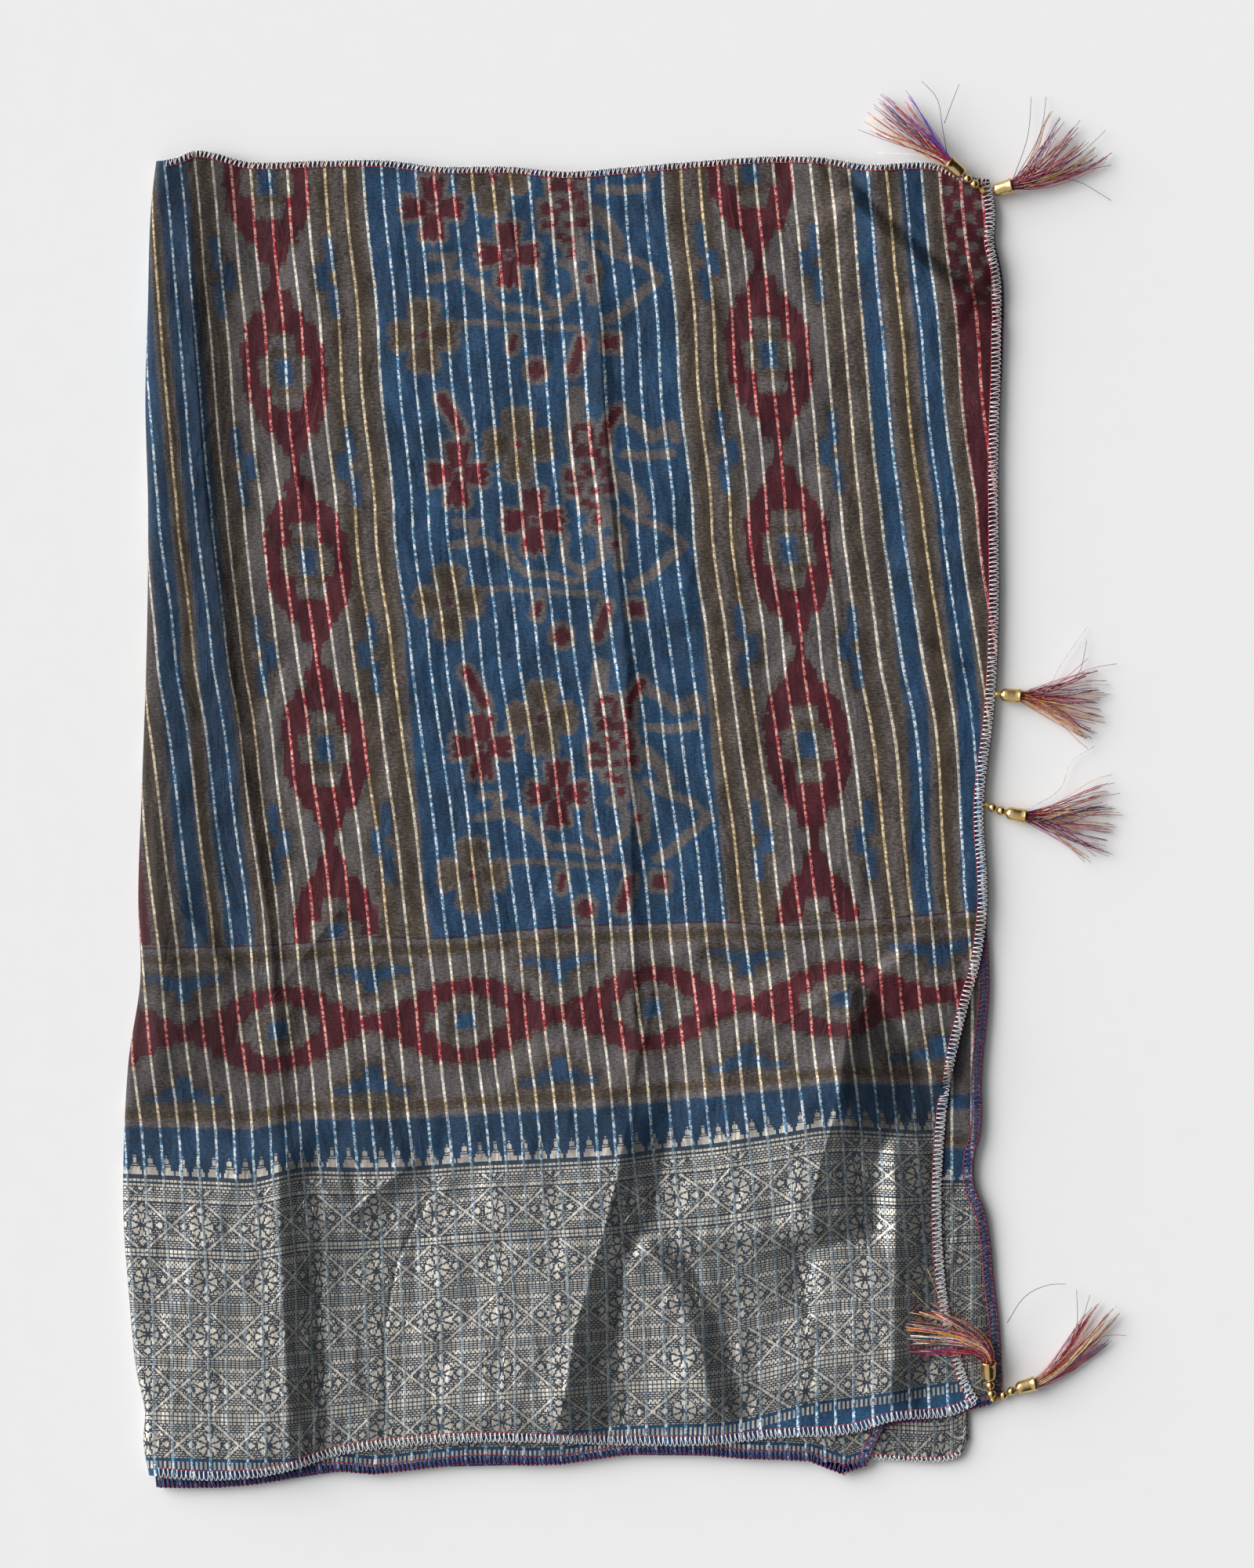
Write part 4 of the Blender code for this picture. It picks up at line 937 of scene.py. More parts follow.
    # temple spires that rise from the brocade into the blue
    spire_width = node(tree, "ValToRGB", [node(tree, "Math", (rise, 13.0), operation="DIVIDE")])
    steps = spire_width.node.color_ramp
    steps.interpolation = "CONSTANT"
    steps.elements[0].position, steps.elements[0].color = 0.0, (0.82, 0.82, 0.82, 1)
    steps.elements[1].position, steps.elements[1].color = 0.22, (0.56, 0.56, 0.56, 1)
    for position, value in ((0.36, 0.4), (0.52, 0.27), (0.68, 0.14), (0.88, 0.0)):
        steps.elements.new(position).color = (value, value, value, 1)
    from_spire = node(tree, "Math", (x, 4.4), operation="PINGPONG")
    from_spire = node(tree, "Math", (from_spire, 4.4), operation="DIVIDE")
    spire = node(tree, "Math", (from_spire, spire_width), operation="LESS_THAN")
    solid_foot = node(tree, "Math", (rise, 3.0), operation="LESS_THAN")
    picks = node(tree, "Math", (picks, solid_foot), operation="MAXIMUM")
    spire = node(tree, "Math", (spire, picks), operation="MULTIPLY")
    above = node(tree, "Math", (y, 0.0), operation="LESS_THAN")
    # each figure is laid over the ground's floats, in a gap of its own
    silver = floats
    for gap, bright in (
        (flower_gap, 0.0),
        (flower, petal),
        (lozenge_gap, lozenge_in),
        (line_gap, line),
        (rows_gap, rows),
        (head_zone, opening),
        (above, spire),
    ):
        silver = node(tree, "Mix", {0: gap, 2: silver, 3: bright})
    # bars along the selvedge, past a plain blue line
    past = node(tree, "Math", (y, BROCADE_DEPTH), operation="SUBTRACT")
    in_brocade = node(tree, "Math", (past, 0.0), operation="LESS_THAN")
    silver = node(tree, "Math", (silver, in_brocade), operation="MULTIPLY")
    peg_row = node(tree, "Math", (past, 4.2, 2.1), operation="COMPARE")
    silver = node(tree, "Math", (pegs, peg_row, silver), operation="MULTIPLY_ADD")
    reach = node(tree, "Math", (y, -12.0), operation="GREATER_THAN")
    silver = node(tree, "Math", (silver, reach), operation="MULTIPLY")
    on_ground = node(tree, "Math", (y, 0.0), operation="GREATER_THAN")
    on_ground = node(tree, "Math", (on_ground, in_brocade), operation="MULTIPLY")
    feeds = {0: fuzz, 6: linear("#958E84"), 7: linear("#D8D1C6")}
    tarnish = node(tree, "Mix", feeds, out=2, data_type="RGBA")
    for mask, over in ((on_ground, ground), (silver, tarnish)):
        colour = node(tree, "Mix", {0: mask, 6: colour, 7: over}, out=2, data_type="RGBA")

    # metal threads along the length
    thread = node(tree, "Math", (across, THREAD_PITCH), operation="DIVIDE")
    thread = node(tree, "Math", (node(tree, "Math", (thread,), operation="FRACT"), 0.5), operation="SUBTRACT")
    thread = node(tree, "Math", (thread,), operation="ABSOLUTE")
    thread = node(tree, "Math", (0.5, thread), operation="SUBTRACT")
    thread = node(tree, "Math", (thread, THREAD_PITCH), operation="MULTIPLY")
    thread_mask = node(tree, "MapRange", {0: thread, 1: 0.5, 2: 0.95, 3: 1.0, 4: 0.0})
    feeds = {0: fleck, 6: linear("#5F7A8C"), 7: linear("#A9B6BC")}
    on_silver = node(tree, "Mix", feeds, out=2, data_type="RGBA")
    strand = node(tree, "Mix", {0: on_ground, 6: strand, 7: on_silver}, out=2, data_type="RGBA")
    # half buried between the brocade's silver floats
    sunk = node(tree, "Math", (on_ground, -0.5, 1.0), operation="MULTIPLY_ADD")
    thread_mask = node(tree, "Math", (thread_mask, sunk), operation="MULTIPLY")
    colour = node(tree, "Mix", {0: thread_mask, 6: colour, 7: strand}, out=2, data_type="RGBA")
    crease = node(tree, "SeparateXYZ", [node(tree, "Attribute", out=1, attribute_name="crease_and_painted_shade")])
    crease_at, crease_rise, painted_shade_factor = crease.node.outputs
    # the painted shade stored on the cloth's points darkens the colour, its metal threads and silver too
    painted_shade_factor = node(tree, "Math", (painted_shade_factor, depth), operation="MULTIPLY")
    feeds = {0: 1.0, 6: colour, 7: painted_shade_factor}
    colour = node(tree, "Mix", feeds, out=2, data_type="RGBA", blend_type="MULTIPLY")

    metal = [node(tree, "Math", pair, operation="MULTIPLY") for pair in ((silver, 0.72), (thread_mask, 0.35))]
    metal = node(tree, "Math", metal, operation="MAXIMUM")
    rough = node(tree, "MapRange", {0: metal, 1: 0.0, 2: 0.72, 3: 0.7, 4: 0.38})
    drawn = node(tree, "CombineXYZ", (across, node(tree, "Math", (down, 0.4), operation="MULTIPLY"), 0.0))
    feeds = {"Vector": drawn, "Scale": 0.05, "Detail": 4.0, "Roughness": 0.55, "Distortion": 0.6}
    wrinkle = node(tree, "TexNoise", feeds)
    ridge = node(tree, "Math", (crease_at, 0.55), operation="MULTIPLY")
    ridge = node(tree, "Math", (ridge, ridge, 1.0), operation="MULTIPLY_ADD")
    ridge = node(tree, "Math", (ridge, ridge), operation="MULTIPLY")
    ridge = node(tree, "Math", (crease_rise, ridge), operation="DIVIDE")
    # relief in millimetres: raised silver, weave, metal threads, slubs, wrinkles and the sharp crease lines
    relief = node(tree, "Math", (silver, 0.09), operation="MULTIPLY")
    for part, high in ((weave, 0.035), (thread_mask, 0.16), (fuzz, 0.22), (wrinkle, 2.6), (ridge, 0.14)):
        relief = node(tree, "Math", (part, high, relief), operation="MULTIPLY_ADD")
    bump = node(tree, "Bump", {"Strength": 1.0, "Distance": 0.001, "Height": relief})
    feed(tree, shader, Base_Color=colour, Metallic=metal, Roughness=rough, Normal=bump)
    feed(tree, shader, Sheen_Weight=0.04, Sheen_Roughness=0.5, Specular_IOR_Level=0.3)
    return material


front, front_grid = front_cloth()
front.data.materials.append(cloth_material("ikat_cloth_face"))
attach(front, "root")
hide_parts("front_layer")

# The cloth's second layer
# The same length of cloth past its fold, so it lies face down and shows its wrong side: a strip down the
# right and along the bottom, where its selvedge and its violet overlocking stand out past the first layer.
SECOND_TOP = 4.5
SECOND_RIGHT = [
    (201.2, -339.7), (204.7, -333.2), (205.1, -318.2), (203.8, -296.7), (200.8, -273.1), (199.1, -254.1),
    (195.2, -232.6), (190.4, -221.0), (189.8, -205.0), (192.6, -194.8), (193.9, -159.5), (198.2, -108.8),
    (196.5, -73.1), (194.2, -9.0), (199.4, 40.0), (201.6, 111.8), (202.0, 172.0), (205.8, 240.8),
    (205.4, 280.0), (200.0, 303.0), (197.2, 328.5),
]
SECOND_BOTTOM_EDGE = [
    (-261.0, -385.7), (-218.0, -385.3), (-187.5, -381.4), (-167.3, -376.7), (-137.6, -378.4),
    (-116.1, -375.8), (-83.8, -372.8), (-40.9, -373.4), (0.0, -367.8), (35.7, -367.6), (68.4, -370.2),
    (98.9, -371.1), (127.7, -378.0), (134.5, -367.0), (141.0, -353.5), (163.4, -349.2), (201.2, -339.7),
]
HIDDEN_INSET = 2.0
# The strip at the right, in pixels: how far its pattern is shifted, and where its border and brocade begin
STRIP_SHIFT = 85.0
STRIP_BORDER = 1447.0
STRIP_BROCADE = 1505.0
BORDER_START = 86.0


def wrong_side_places(px, py, edge_py):
    """The cloth's own places for a layer of which only an edge shows, down to its bottom edge."""
    across, down, maroon, brown, blue, grey = dyed_places(px + STRIP_SHIFT, np.minimum(py, 1150.0))
    lower_half = py > PICTURE_MIDDLE[1]
    grey, maroon = np.where(lower_half, -6.0, grey), np.where(lower_half, 30.0, maroon)
    selvedge = BAND_DEPTH + BROCADE_DEPTH + 10.5
    brocade = BAND_DEPTH + (selvedge - BAND_DEPTH) * (py - STRIP_BROCADE) / (edge_py - STRIP_BROCADE)
    border = (BAND_DEPTH - BORDER_START) * (py - STRIP_BORDER) / (STRIP_BROCADE - STRIP_BORDER)
    border = BORDER_START + border
    above = (py - STRIP_BORDER) * PIXEL
    down = np.where(py < STRIP_BORDER, above, np.where(py < STRIP_BROCADE, border, brocade))
    grey = np.where(down > 0, down - 98.0, grey)
    brown = np.where(lower_half, np.abs(down - 91.0) - 3.0, brown)
    blue = np.where(lower_half, np.abs(down + 18.0) - 4.0, blue)
    no_crease = np.full(px.shape, FAR_FROM_CREASE), np.zeros(px.shape)
    return across, down, maroon, brown, blue, grey, *no_crease, np.ones(px.shape)


def second_cloth():
    columns = spaced((0.86, 24), (1.0, 36))
    rows = spaced((0.06, 24), (0.35, 84), (1.0, 120))
    left = point_at_share(FRONT_LEFT, rows) + np.array([FOLD_REACH, 0.0])
    left[0] = (left[0][0], SECOND_BOTTOM_EDGE[0][1])
    left[-1] = left[-1] - np.array([0.0, HIDDEN_INSET])
    right = point_at_share(SECOND_RIGHT, rows)
    bottom = point_at_share([tuple(left[0])] + SECOND_BOTTOM_EDGE[1:], columns)
    top_edge = [(x, y - HIDDEN_INSET) for x, y in FRONT_TOP_EDGE[1:-1]]
    top = point_at_share([tuple(left[-1])] + top_edge + [tuple(right[-1])], columns)
    flat = patch(left, right, bottom, top, columns, rows)
    height = SECOND_TOP - overhang(flat[..., 0])
    outer = np.concatenate([flat, height[..., None]], axis=-1)
    inner = np.concatenate([flat, (height - CLOTH)[..., None]], axis=-1)
    px, py = to_pixels(flat[..., 0], flat[..., 1])
    places = wrong_side_places(px, py, np.broadcast_to(py[:1], py.shape))
    return sheet_mesh("second_cloth", outer, inner, places, 3), outer


second, second_grid = second_cloth()
second.data.materials.append(cloth_material("ikat_cloth_wrong_side", depth=0.9))
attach(second, "root")
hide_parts("second_layer")

# The cloth's third and fourth layers
# The far half of the cloth, which ends in its middle fold at the right. Only its bottom edge and its bottom
# right corner show, with a strip of the brocade.
LOWER_THICK = 3.2
CORNER_RADIUS = 8.0
LOWER_BOTTOM_EDGE = [
    (-256.0, -381.5), (-218.0, -381.8), (-187.5, -378.2), (-137.6, -374.4), (-83.8, -369.6),
    (0.0, -364.6), (68.4, -366.8), (110.0, -368.6), (142.8, -370.8), (168.6, -371.3), (180.0, -368.6),
]


def lower_cloth():
    """A strip of cloth that goes along the top, round the fold at the right and back underneath."""
    rows = spaced((0.06, 14), (1.0, 40))
    top_share = spaced((0.8, 12), (0.95, 6), (1.0, 16))
    half = LOWER_THICK / 2
    outer_rows, inner_rows = [], []
    bottom_edge = point_at_share(LOWER_BOTTOM_EDGE, top_share)
    left = point_at_share(FRONT_LEFT, rows) + np.array([FOLD_REACH + 2.0, 0.0])
    for r, share in enumerate(rows):
        outer_row, inner_row = [], []
        end = FOLD_END_X - half
        for ply in (0, 1):
            shares = top_share if ply == 0 else top_share[::-1]
            for c, s in enumerate(shares):
                base = bottom_edge[c if ply == 0 else len(top_share) - 1 - c]
                x = base[0] + (end - bottom_edge[-1][0]) * s ** 6
                y_low = base[1] + (0.0 if ply == 0 else 1.2)
                if x > end - CORNER_RADIUS:
                    run = (x - end + CORNER_RADIUS) / CORNER_RADIUS
                    y_low += CORNER_RADIUS * (1 - math.sqrt(max(1 - run**2, 0)))
                y_high = min(np.interp(x, *zip(*FRONT_TOP_EDGE)) - 4.0, 331.0)
                x_left = left[r][0]
                x = max(x, x_left) if s > 0 else x_left
                y = y_low + (y_high - y_low) * share
                z = LOWER_THICK if ply == 0 else 0.0
                outer_row.append((x, y, z))
                inner_row.append((x, y, z - CLOTH if ply == 0 else z + CLOTH))
            if ply == 0:
                x_last, y_last = outer_row[-1][0], outer_row[-1][1]
                for k in range(1, 8):
                    turn = math.pi * k / 8
                    across, up = math.sin(turn), math.cos(turn)
                    outer_row.append((x_last + half * across, y_last, half + half * up))
                    inset = half - CLOTH
                    inner_row.append((x_last + inset * across, y_last, half + inset * up))
        outer_rows.append(outer_row)
        inner_rows.append(inner_row)
    outer, inner = np.array(outer_rows), np.array(inner_rows)
    px, py = to_pixels(outer[..., 0], outer[..., 1])
    # the strip that shows is brocade right to its edge
    places = wrong_side_places(px, py, np.broadcast_to(py[:1], py.shape) + 34.0)
    return sheet_mesh("lower_cloth", outer, inner, places, 1), outer


lower, lower_grid = lower_cloth()
lower.data.materials.append(cloth_material("ikat_cloth_lower", depth=0.85))
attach(lower, "root")
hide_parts("lower_layers")

# Overlocking
# The edges that show are overlocked with polyester thread: slanting threads wrap the edge from a needle line
# a few millimetres in. The face side shows white with a dark red needle line, the wrong side dark violet.
STITCH = 2.5
SEAM_WIDTH = 4.8
THREAD = 0.36


def even_points(line, inward, step):
    """Points every step along a line, with the inward, forward and upward directions there."""
    runs = np.linalg.norm(np.diff(line, axis=0), axis=1)
    length = np.concatenate([[0.0], np.cumsum(runs)])
    marks = np.arange(step / 2, length[-1] - step, step)
    place = np.stack([np.interp(marks, length, line[:, i]) for i in range(3)], axis=1)
    ahead = np.stack([np.interp(marks + 0.5, length, line[:, i]) for i in range(3)], axis=1)
    turned_in = np.stack([np.interp(marks, length, inward[:, i]) for i in range(3)], axis=1)
    forward = ahead - place
    forward /= np.linalg.norm(forward, axis=1)[:, None]
    turned_in = turned_in - forward * (turned_in * forward).sum(axis=1)[:, None]
    turned_in /= np.linalg.norm(turned_in, axis=1)[:, None]
    up = np.cross(forward, turned_in)
    up *= np.sign(up[:, 2:3])
    return place, turned_in, forward, up


def thread_tubes(paths, radii, sides=4):
    """Thin closed tubes along many short paths. paths: (count, points, 3); gives their points and faces."""
    count, steps = paths.shape[:2]
    forward = np.gradient(paths, axis=1)
    forward /= np.linalg.norm(forward, axis=2)[..., None] + 1e-9
    level = np.cross(np.broadcast_to((0.0, 0.0, 1.0), forward.shape), forward)
    size = np.linalg.norm(level, axis=2)[..., None]
    level = np.where(size > 0.05, level / (size + 1e-9), np.array([0.0, 1.0, 0.0]))
    up = np.cross(forward, level)
    angle = 2 * np.pi * (np.arange(sides) + 0.5) / sides
    ring = np.cos(angle)[:, None] * level[:, :, None, :] + np.sin(angle)[:, None] * up[:, :, None, :]
    radii = np.broadcast_to(np.asarray(radii, float), (count, steps))
    points = (paths[:, :, None, :] + ring * radii[:, :, None, None]).reshape(-1, 3)
    faces = []
    base = np.arange(count) * steps * sides
    for step in range(steps - 1):
        for side in range(sides):
            after = (side + 1) % sides
            quad = np.array([side, after, sides + after, sides + side]) + step * sides
            faces.append(base[:, None] + quad)
    faces = np.concatenate(faces).tolist()
    last = (steps - 1) * sides
    faces += (base[:, None] + np.arange(sides)[::-1]).tolist()
    faces += (base[:, None] + last + np.arange(sides)).tolist()
    return points, faces


def thread_piece(name, groups, material, dyes=None):
    """One mesh of many threads. groups: pairs of points in mm and faces; dyes: a shade for each point."""
    points, faces, done = [], [], 0
    for group_points, group_faces in groups:
        points.append(group_points)
        faces += [[v + done for v in face] for face in group_faces]
        done += len(group_points)
    points = (np.concatenate(points) + np.array([drawing_x, drawing_y, 0.0])) * MM
    mesh = bpy.data.meshes.new(name)
    mesh.from_pydata(points.tolist(), [], faces)
    if dyes is not None:
        layer = mesh.attributes.new("thread_dye", "FLOAT", "POINT")
        layer.data.foreach_set("value", np.concatenate(dyes))
    mesh.materials.append(material)
    mesh.shade_smooth()
    piece = bpy.data.objects.new(name, mesh)
    bpy.context.scene.collection.objects.link(piece)
    return piece


def overlock(line, inward, seed, width=SEAM_WIDTH):
    """The wrapping threads and the needle thread along one edge."""
    place, turned_in, forward, up = even_points(line, inward, STITCH)
    draw = np.random.default_rng(seed)
    jig = draw.uniform(-0.45, 0.45, (len(place), 4, 1))

    def at(step, inside, high):
        return place + forward * step + turned_in * inside + up * high

    wrap = np.stack(
        [
            at(0.0, width, 0.1) + forward * jig[:, 0],
            at(0.35, width * 0.6, 0.42),
            at(0.95, width * 0.2, 0.42) + forward * jig[:, 1],
            at(1.3, -0.35, 0.0),
            at(1.5, -0.1, -0.55),
        ],
        axis=1,
    )
    back = np.stack(
        [
            at(1.1, -0.25, -0.25),
            at(1.9, -0.3, 0.22) + forward * jig[:, 2],
            at(2.5, 0.5, 0.42),
            at(2.5, width * 0.55, 0.38) + forward * jig[:, 3],
            at(2.45, width, 0.1),
        ],
        axis=1,
    )
    needle = np.stack([at(0.1, width, 0.05), at(1.1, width + 0.1, 0.34), at(2.2, width, 0.05)], axis=1)
    wraps = [thread_tubes(wrap, THREAD), thread_tubes(back, THREAD * 0.9)]
    return wraps, [thread_tubes(needle, THREAD * 0.9)]


def spun_thread(name, tones, roughness, metallic=0.0):
    """Twisted polyester: a slight sheen, and tone that varies from stitch to stitch."""
    material, tree, shader = new_material(name)
    spot = node(tree, "TexCoord", out=3)
    blotch = node(tree, "TexNoise", {"Vector": spot, "Scale": 420.0, "Detail": 2.0, "Roughness": 0.7})
    blotch = node(tree, "MapRange", {0: blotch, 1: 0.35, 2: 0.65, 3: 0.0, 4: 1.0})
    tint = node(tree, "Mix", {0: blotch, 6: linear(tones[0]), 7: linear(tones[1])}, out=2, data_type="RGBA")
    twist = node(tree, "TexWave", {"Vector": spot, "Scale": 900.0, "Distortion": 2.0})
    bump = node(tree, "Bump", {"Strength": 0.5, "Distance": 0.0001, "Height": twist})
    feed(tree, shader, Base_Color=tint, Roughness=roughness, Metallic=metallic, Normal=bump)
    return material


white_thread = spun_thread("white_polyester_thread", ("#C2BEC6", "#EFECEE"), 0.6)
red_thread = spun_thread("dark_red_polyester_thread", ("#8E1A2E", "#B23244"), 0.6)
violet_thread = spun_thread("violet_polyester_thread", ("#2A2A60", "#55508C"), 0.6)

edges = [
    (front_grid[:, -1], front_grid[:, -3] - front_grid[:, -1]),
    (front_grid[-1], front_grid[-3] - front_grid[-1]),
    (front_grid[0], front_grid[2] - front_grid[0]),
]
wraps, needles = [], []
for number, (line, inward) in enumerate(edges):
    made, needle = overlock(line, inward, 20 + number, 3.4 if number == 1 else SEAM_WIDTH)
    wraps += made
    needles += needle
face_overlock = thread_piece("overlock_face", wraps, white_thread)
face_needle = thread_piece("overlock_face_needle", needles, red_thread)

edges = [
    (second_grid[:, -1], second_grid[:, -3] - second_grid[:, -1]),
    (second_grid[0], second_grid[2] - second_grid[0]),
]
wraps, needles = [], []
for number, (line, inward) in enumerate(edges):
    made, needle = overlock(line, inward, 40 + number)
    wraps += made
    needles += needle
    # red loops that come through at the very edge
    place, turned_in, forward, up = even_points(line, inward, STITCH)
    loops = [
        place + turned_in * 0.2 + up * 0.5,
        place + forward * 0.7 + up * 0.62,
        place + forward * 1.3 + turned_in * 0.8 + up * 0.5,
    ]
    needles.append(thread_tubes(np.stack(loops, axis=1), THREAD * 0.95))
lower_wraps, needle = overlock(lower_grid[0, :33], lower_grid[2, :33] - lower_grid[0, :33], 42, 2.4)
needles += needle
lower_overlock = thread_piece("overlock_lower", lower_wraps, white_thread)
back_overlock = thread_piece("overlock_back", wraps, violet_thread)
back_needle = thread_piece("overlock_back_needle", needles, red_thread)
for piece in (face_overlock, face_needle, back_overlock, back_needle, lower_overlock):
    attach(piece, "root")

# Bell caps
# Each tassel's head is held in a small bell cap, pressed from thin brass and gilt, with a rolled rim at its
# mouth and a hole at its neck for the thread.

# Distance from the neck, radius
CAP_SHAPE = [(0.25, 1.95), (0.75, 2.35), (1.3, 3.15), (2.2, 3.5), (4.0, 3.62), (7.6, 3.8), (9.7, 3.92)]
CAP_RIM = [(10.0, 4.12), (10.45, 4.22), (11.0, 4.22), (11.3, 4.08), (11.3, 3.6), (10.9, 3.42)]
CAP_INSIDE = [(7.0, 3.35), (4.5, 3.2), (4.4, 1.6), (1.2, 1.15)]
NECK_HOLE = 1.15
# For each tassel: where its loop leaves the cloth, its beads, the cap's two ends, and where its threads bend
# and end, with the reach of the fan to each side
TASSELS = [
    {
        "name": "top_front", "knot": (194.8, 325.1, 8.2), "beads": 2, "neck": (184.5, 333.2, 10.4),
        "mouth": (175.9, 340.5, 11.2), "bend": (157.0, 355.5, 9.4), "tips": (136.2, 373.6, 3.4),
        "fan": 15.0,
    },
    {
        "name": "top_back", "knot": None, "beads": 0, "neck": (200.8, 325.2, 4.2),
        "mouth": (211.4, 328.2, 6.4), "bend": (232.2, 337.8, 5.0), "tips": (254.7, 362.0, 2.8),
        "fan": 21.0,
    },
    {
        "name": "middle_back", "knot": (203.2, 49.3, 4.4), "beads": 0, "neck": (204.95, 49.1, 4.6),
        "mouth": (216.2, 48.0, 4.6), "bend": (240.0, 47.2, 4.2), "tips": (268.5, 44.2, 2.6), "fan": 23.0,
    },
    {
        "name": "middle_front", "knot": (197.2, -11.6, 4.2), "beads": 2, "neck": (207.9, -15.7, 4.6),
        "mouth": (219.0, -17.8, 4.6), "bend": (243.0, -20.5, 4.2), "tips": (269.8, -22.6, 2.6),
        "fan": 23.0,
    },
    {
        "name": "bottom_front", "knot": (200.5, -337.3, 4.7), "beads": 2, "neck": (198.8, -327.2, 7.0),
        "mouth": (198.1, -316.4, 10.2), "bend": (189.0, -300.0, 12.6), "tips": (140.5, -298.0, 9.8),
        "fan": 15.5,
    },
    {
        "name": "bottom_back", "knot": (203.5, -337.0, 2.4), "beads": 2, "neck": (213.3, -331.8, 4.6),
        "mouth": (224.2, -328.8, 4.6), "bend": (246.5, -312.5, 4.4), "tips": (268.0, -287.0, 2.6),
        "fan": 11.0,
    },
]


def frame_along(direction):
    """A rotation whose +X is the direction, +Y is level and +Z is as near up as can be."""
    forward = Vector(direction).normalized()
    level = Vector((0, 0, 1)).cross(forward).normalized()
    return Matrix((forward, level, forward.cross(level))).transposed()


def place_on(piece, start, end):
    """Turns a mesh made in mm along +Z to lie from start towards end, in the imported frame."""
    turn = frame_along(Vector(end) - Vector(start)).to_4x4()
    stand = Matrix(((0, 0, 1, 0), (0, 1, 0, 0), (-1, 0, 0, 0), (0, 0, 0, 1)))
    move = Matrix.Translation(Vector(start) + Vector((drawing_x, drawing_y, 0.0)))
    piece.data.transform(Matrix.Scale(MM, 4) @ move @ turn @ stand)


def copy_of(piece, name):
    made = bpy.data.objects.new(name, piece.data.copy())
    made.data.name = name
    bpy.context.scene.collection.objects.link(made)
    return made


def drop_original(piece):
    mesh = piece.data
    bpy.data.objects.remove(piece)
    bpy.data.meshes.remove(mesh)


# The cap is drawn up from its neck ring in one go, over the rim and back up inside
bpy.ops.mesh.primitive_circle_add(vertices=40, radius=NECK_HOLE, fill_type="NOTHING", location=(0, 0, 0))
cap = bpy.context.object
bpy.ops.object.mode_set(mode="EDIT")
bpy.ops.mesh.select_all(action="SELECT")
reached, wide = 0.0, NECK_HOLE
for along, radius in [(0.0, 1.6)] + CAP_SHAPE + CAP_RIM + CAP_INSIDE:
    bpy.ops.mesh.extrude_region_move(TRANSFORM_OT_translate={"value": (0, 0, along - reached)})
    bpy.ops.transform.resize(value=(radius / wide, radius / wide, 1.0))
    reached, wide = along, radius
bpy.ops.mesh.select_all(action="SELECT")
bpy.ops.mesh.remove_doubles(threshold=0.001)
# join the inner end to the neck ring, so that the shell is closed
bpy.ops.mesh.select_all(action="DESELECT")
bpy.ops.mesh.select_mode(type="EDGE")
bpy.ops.mesh.select_non_manifold()
bpy.ops.mesh.bridge_edge_loops()
bpy.ops.mesh.select_all(action="SELECT")
bpy.ops.mesh.normals_make_consistent(inside=False)
bpy.ops.object.mode_set(mode="OBJECT")
bpy.ops.object.shade_smooth_by_angle(angle=math.radians(38))

# Gilt brass: warm yellow, bright and smooth, with fine rubbed scratches round it
gilt, tree, shader = new_material("gilt_brass")
spot = node(tree, "TexCoord", out=3)
rub = node(tree, "TexNoise", {"Vector": spot, "Scale": 900.0, "Detail": 4.0, "Roughness": 0.65})
film = node(tree, "TexNoise", {"Vector": spot, "Scale": 160.0, "Detail": 2.0})
tint = node(tree, "Mix", {0: film, 6: linear("#C59A50"), 7: linear("#E6CB98")}, out=2, data_type="RGBA")
rough = node(tree, "MapRange", {0: rub, 1: 0.3, 2: 0.7, 3: 0.16, 4: 0.34})
bump = node(tree, "Bump", {"Strength": 0.25, "Distance": 0.00005, "Height": rub})
feed(tree, shader, Base_Color=tint, Metallic=1.0, Roughness=rough, Normal=bump)
cap.data.materials.append(gilt)

for tassel in TASSELS:
    made = copy_of(cap, "cap_" + tassel["name"])
    place_on(made, tassel["neck"], tassel["mouth"])
    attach(made, "root")
    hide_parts("tassel_" + tassel["name"] + "_cap")
drop_original(cap)

# Beads and their threads
# Between the cloth and four of the caps two small gilt beads are strung. The yellow metallic sewing thread
# is wound a few times round itself where it leaves the cloth.
BEAD_RADIUS = 2.5
BEAD_CLEAR = 0.15
BEAD_DRILLED = 0.93

bpy.ops.mesh.primitive_uv_sphere_add(segments=20, ring_count=12, radius=BEAD_RADIUS)
bead = bpy.context.object
bpy.ops.object.mode_set(mode="EDIT")
bpy.ops.mesh.select_mode(type="FACE")
bpy.ops.mesh.select_all(action="DESELECT")
bpy.ops.object.mode_set(mode="OBJECT")
for face in bead.data.polygons:
    face.select = abs(face.center.z) > BEAD_RADIUS * BEAD_DRILLED
bpy.ops.object.mode_set(mode="EDIT")
# the drilled ends: a small flat and a dished hole
bpy.ops.mesh.dissolve_faces()
bpy.ops.mesh.inset(thickness=0.18, depth=0.0)
bpy.ops.mesh.inset(thickness=0.12, depth=-0.35)
bpy.ops.mesh.select_all(action="SELECT")
bpy.ops.mesh.normals_make_consistent(inside=False)
bpy.ops.object.mode_set(mode="OBJECT")
bpy.ops.object.shade_smooth_by_angle(angle=math.radians(35))
bead.data.materials.append(gilt)

yellow_thread = spun_thread("yellow_metallic_thread", ("#B7841F", "#F0CF68"), 0.38, 0.55)


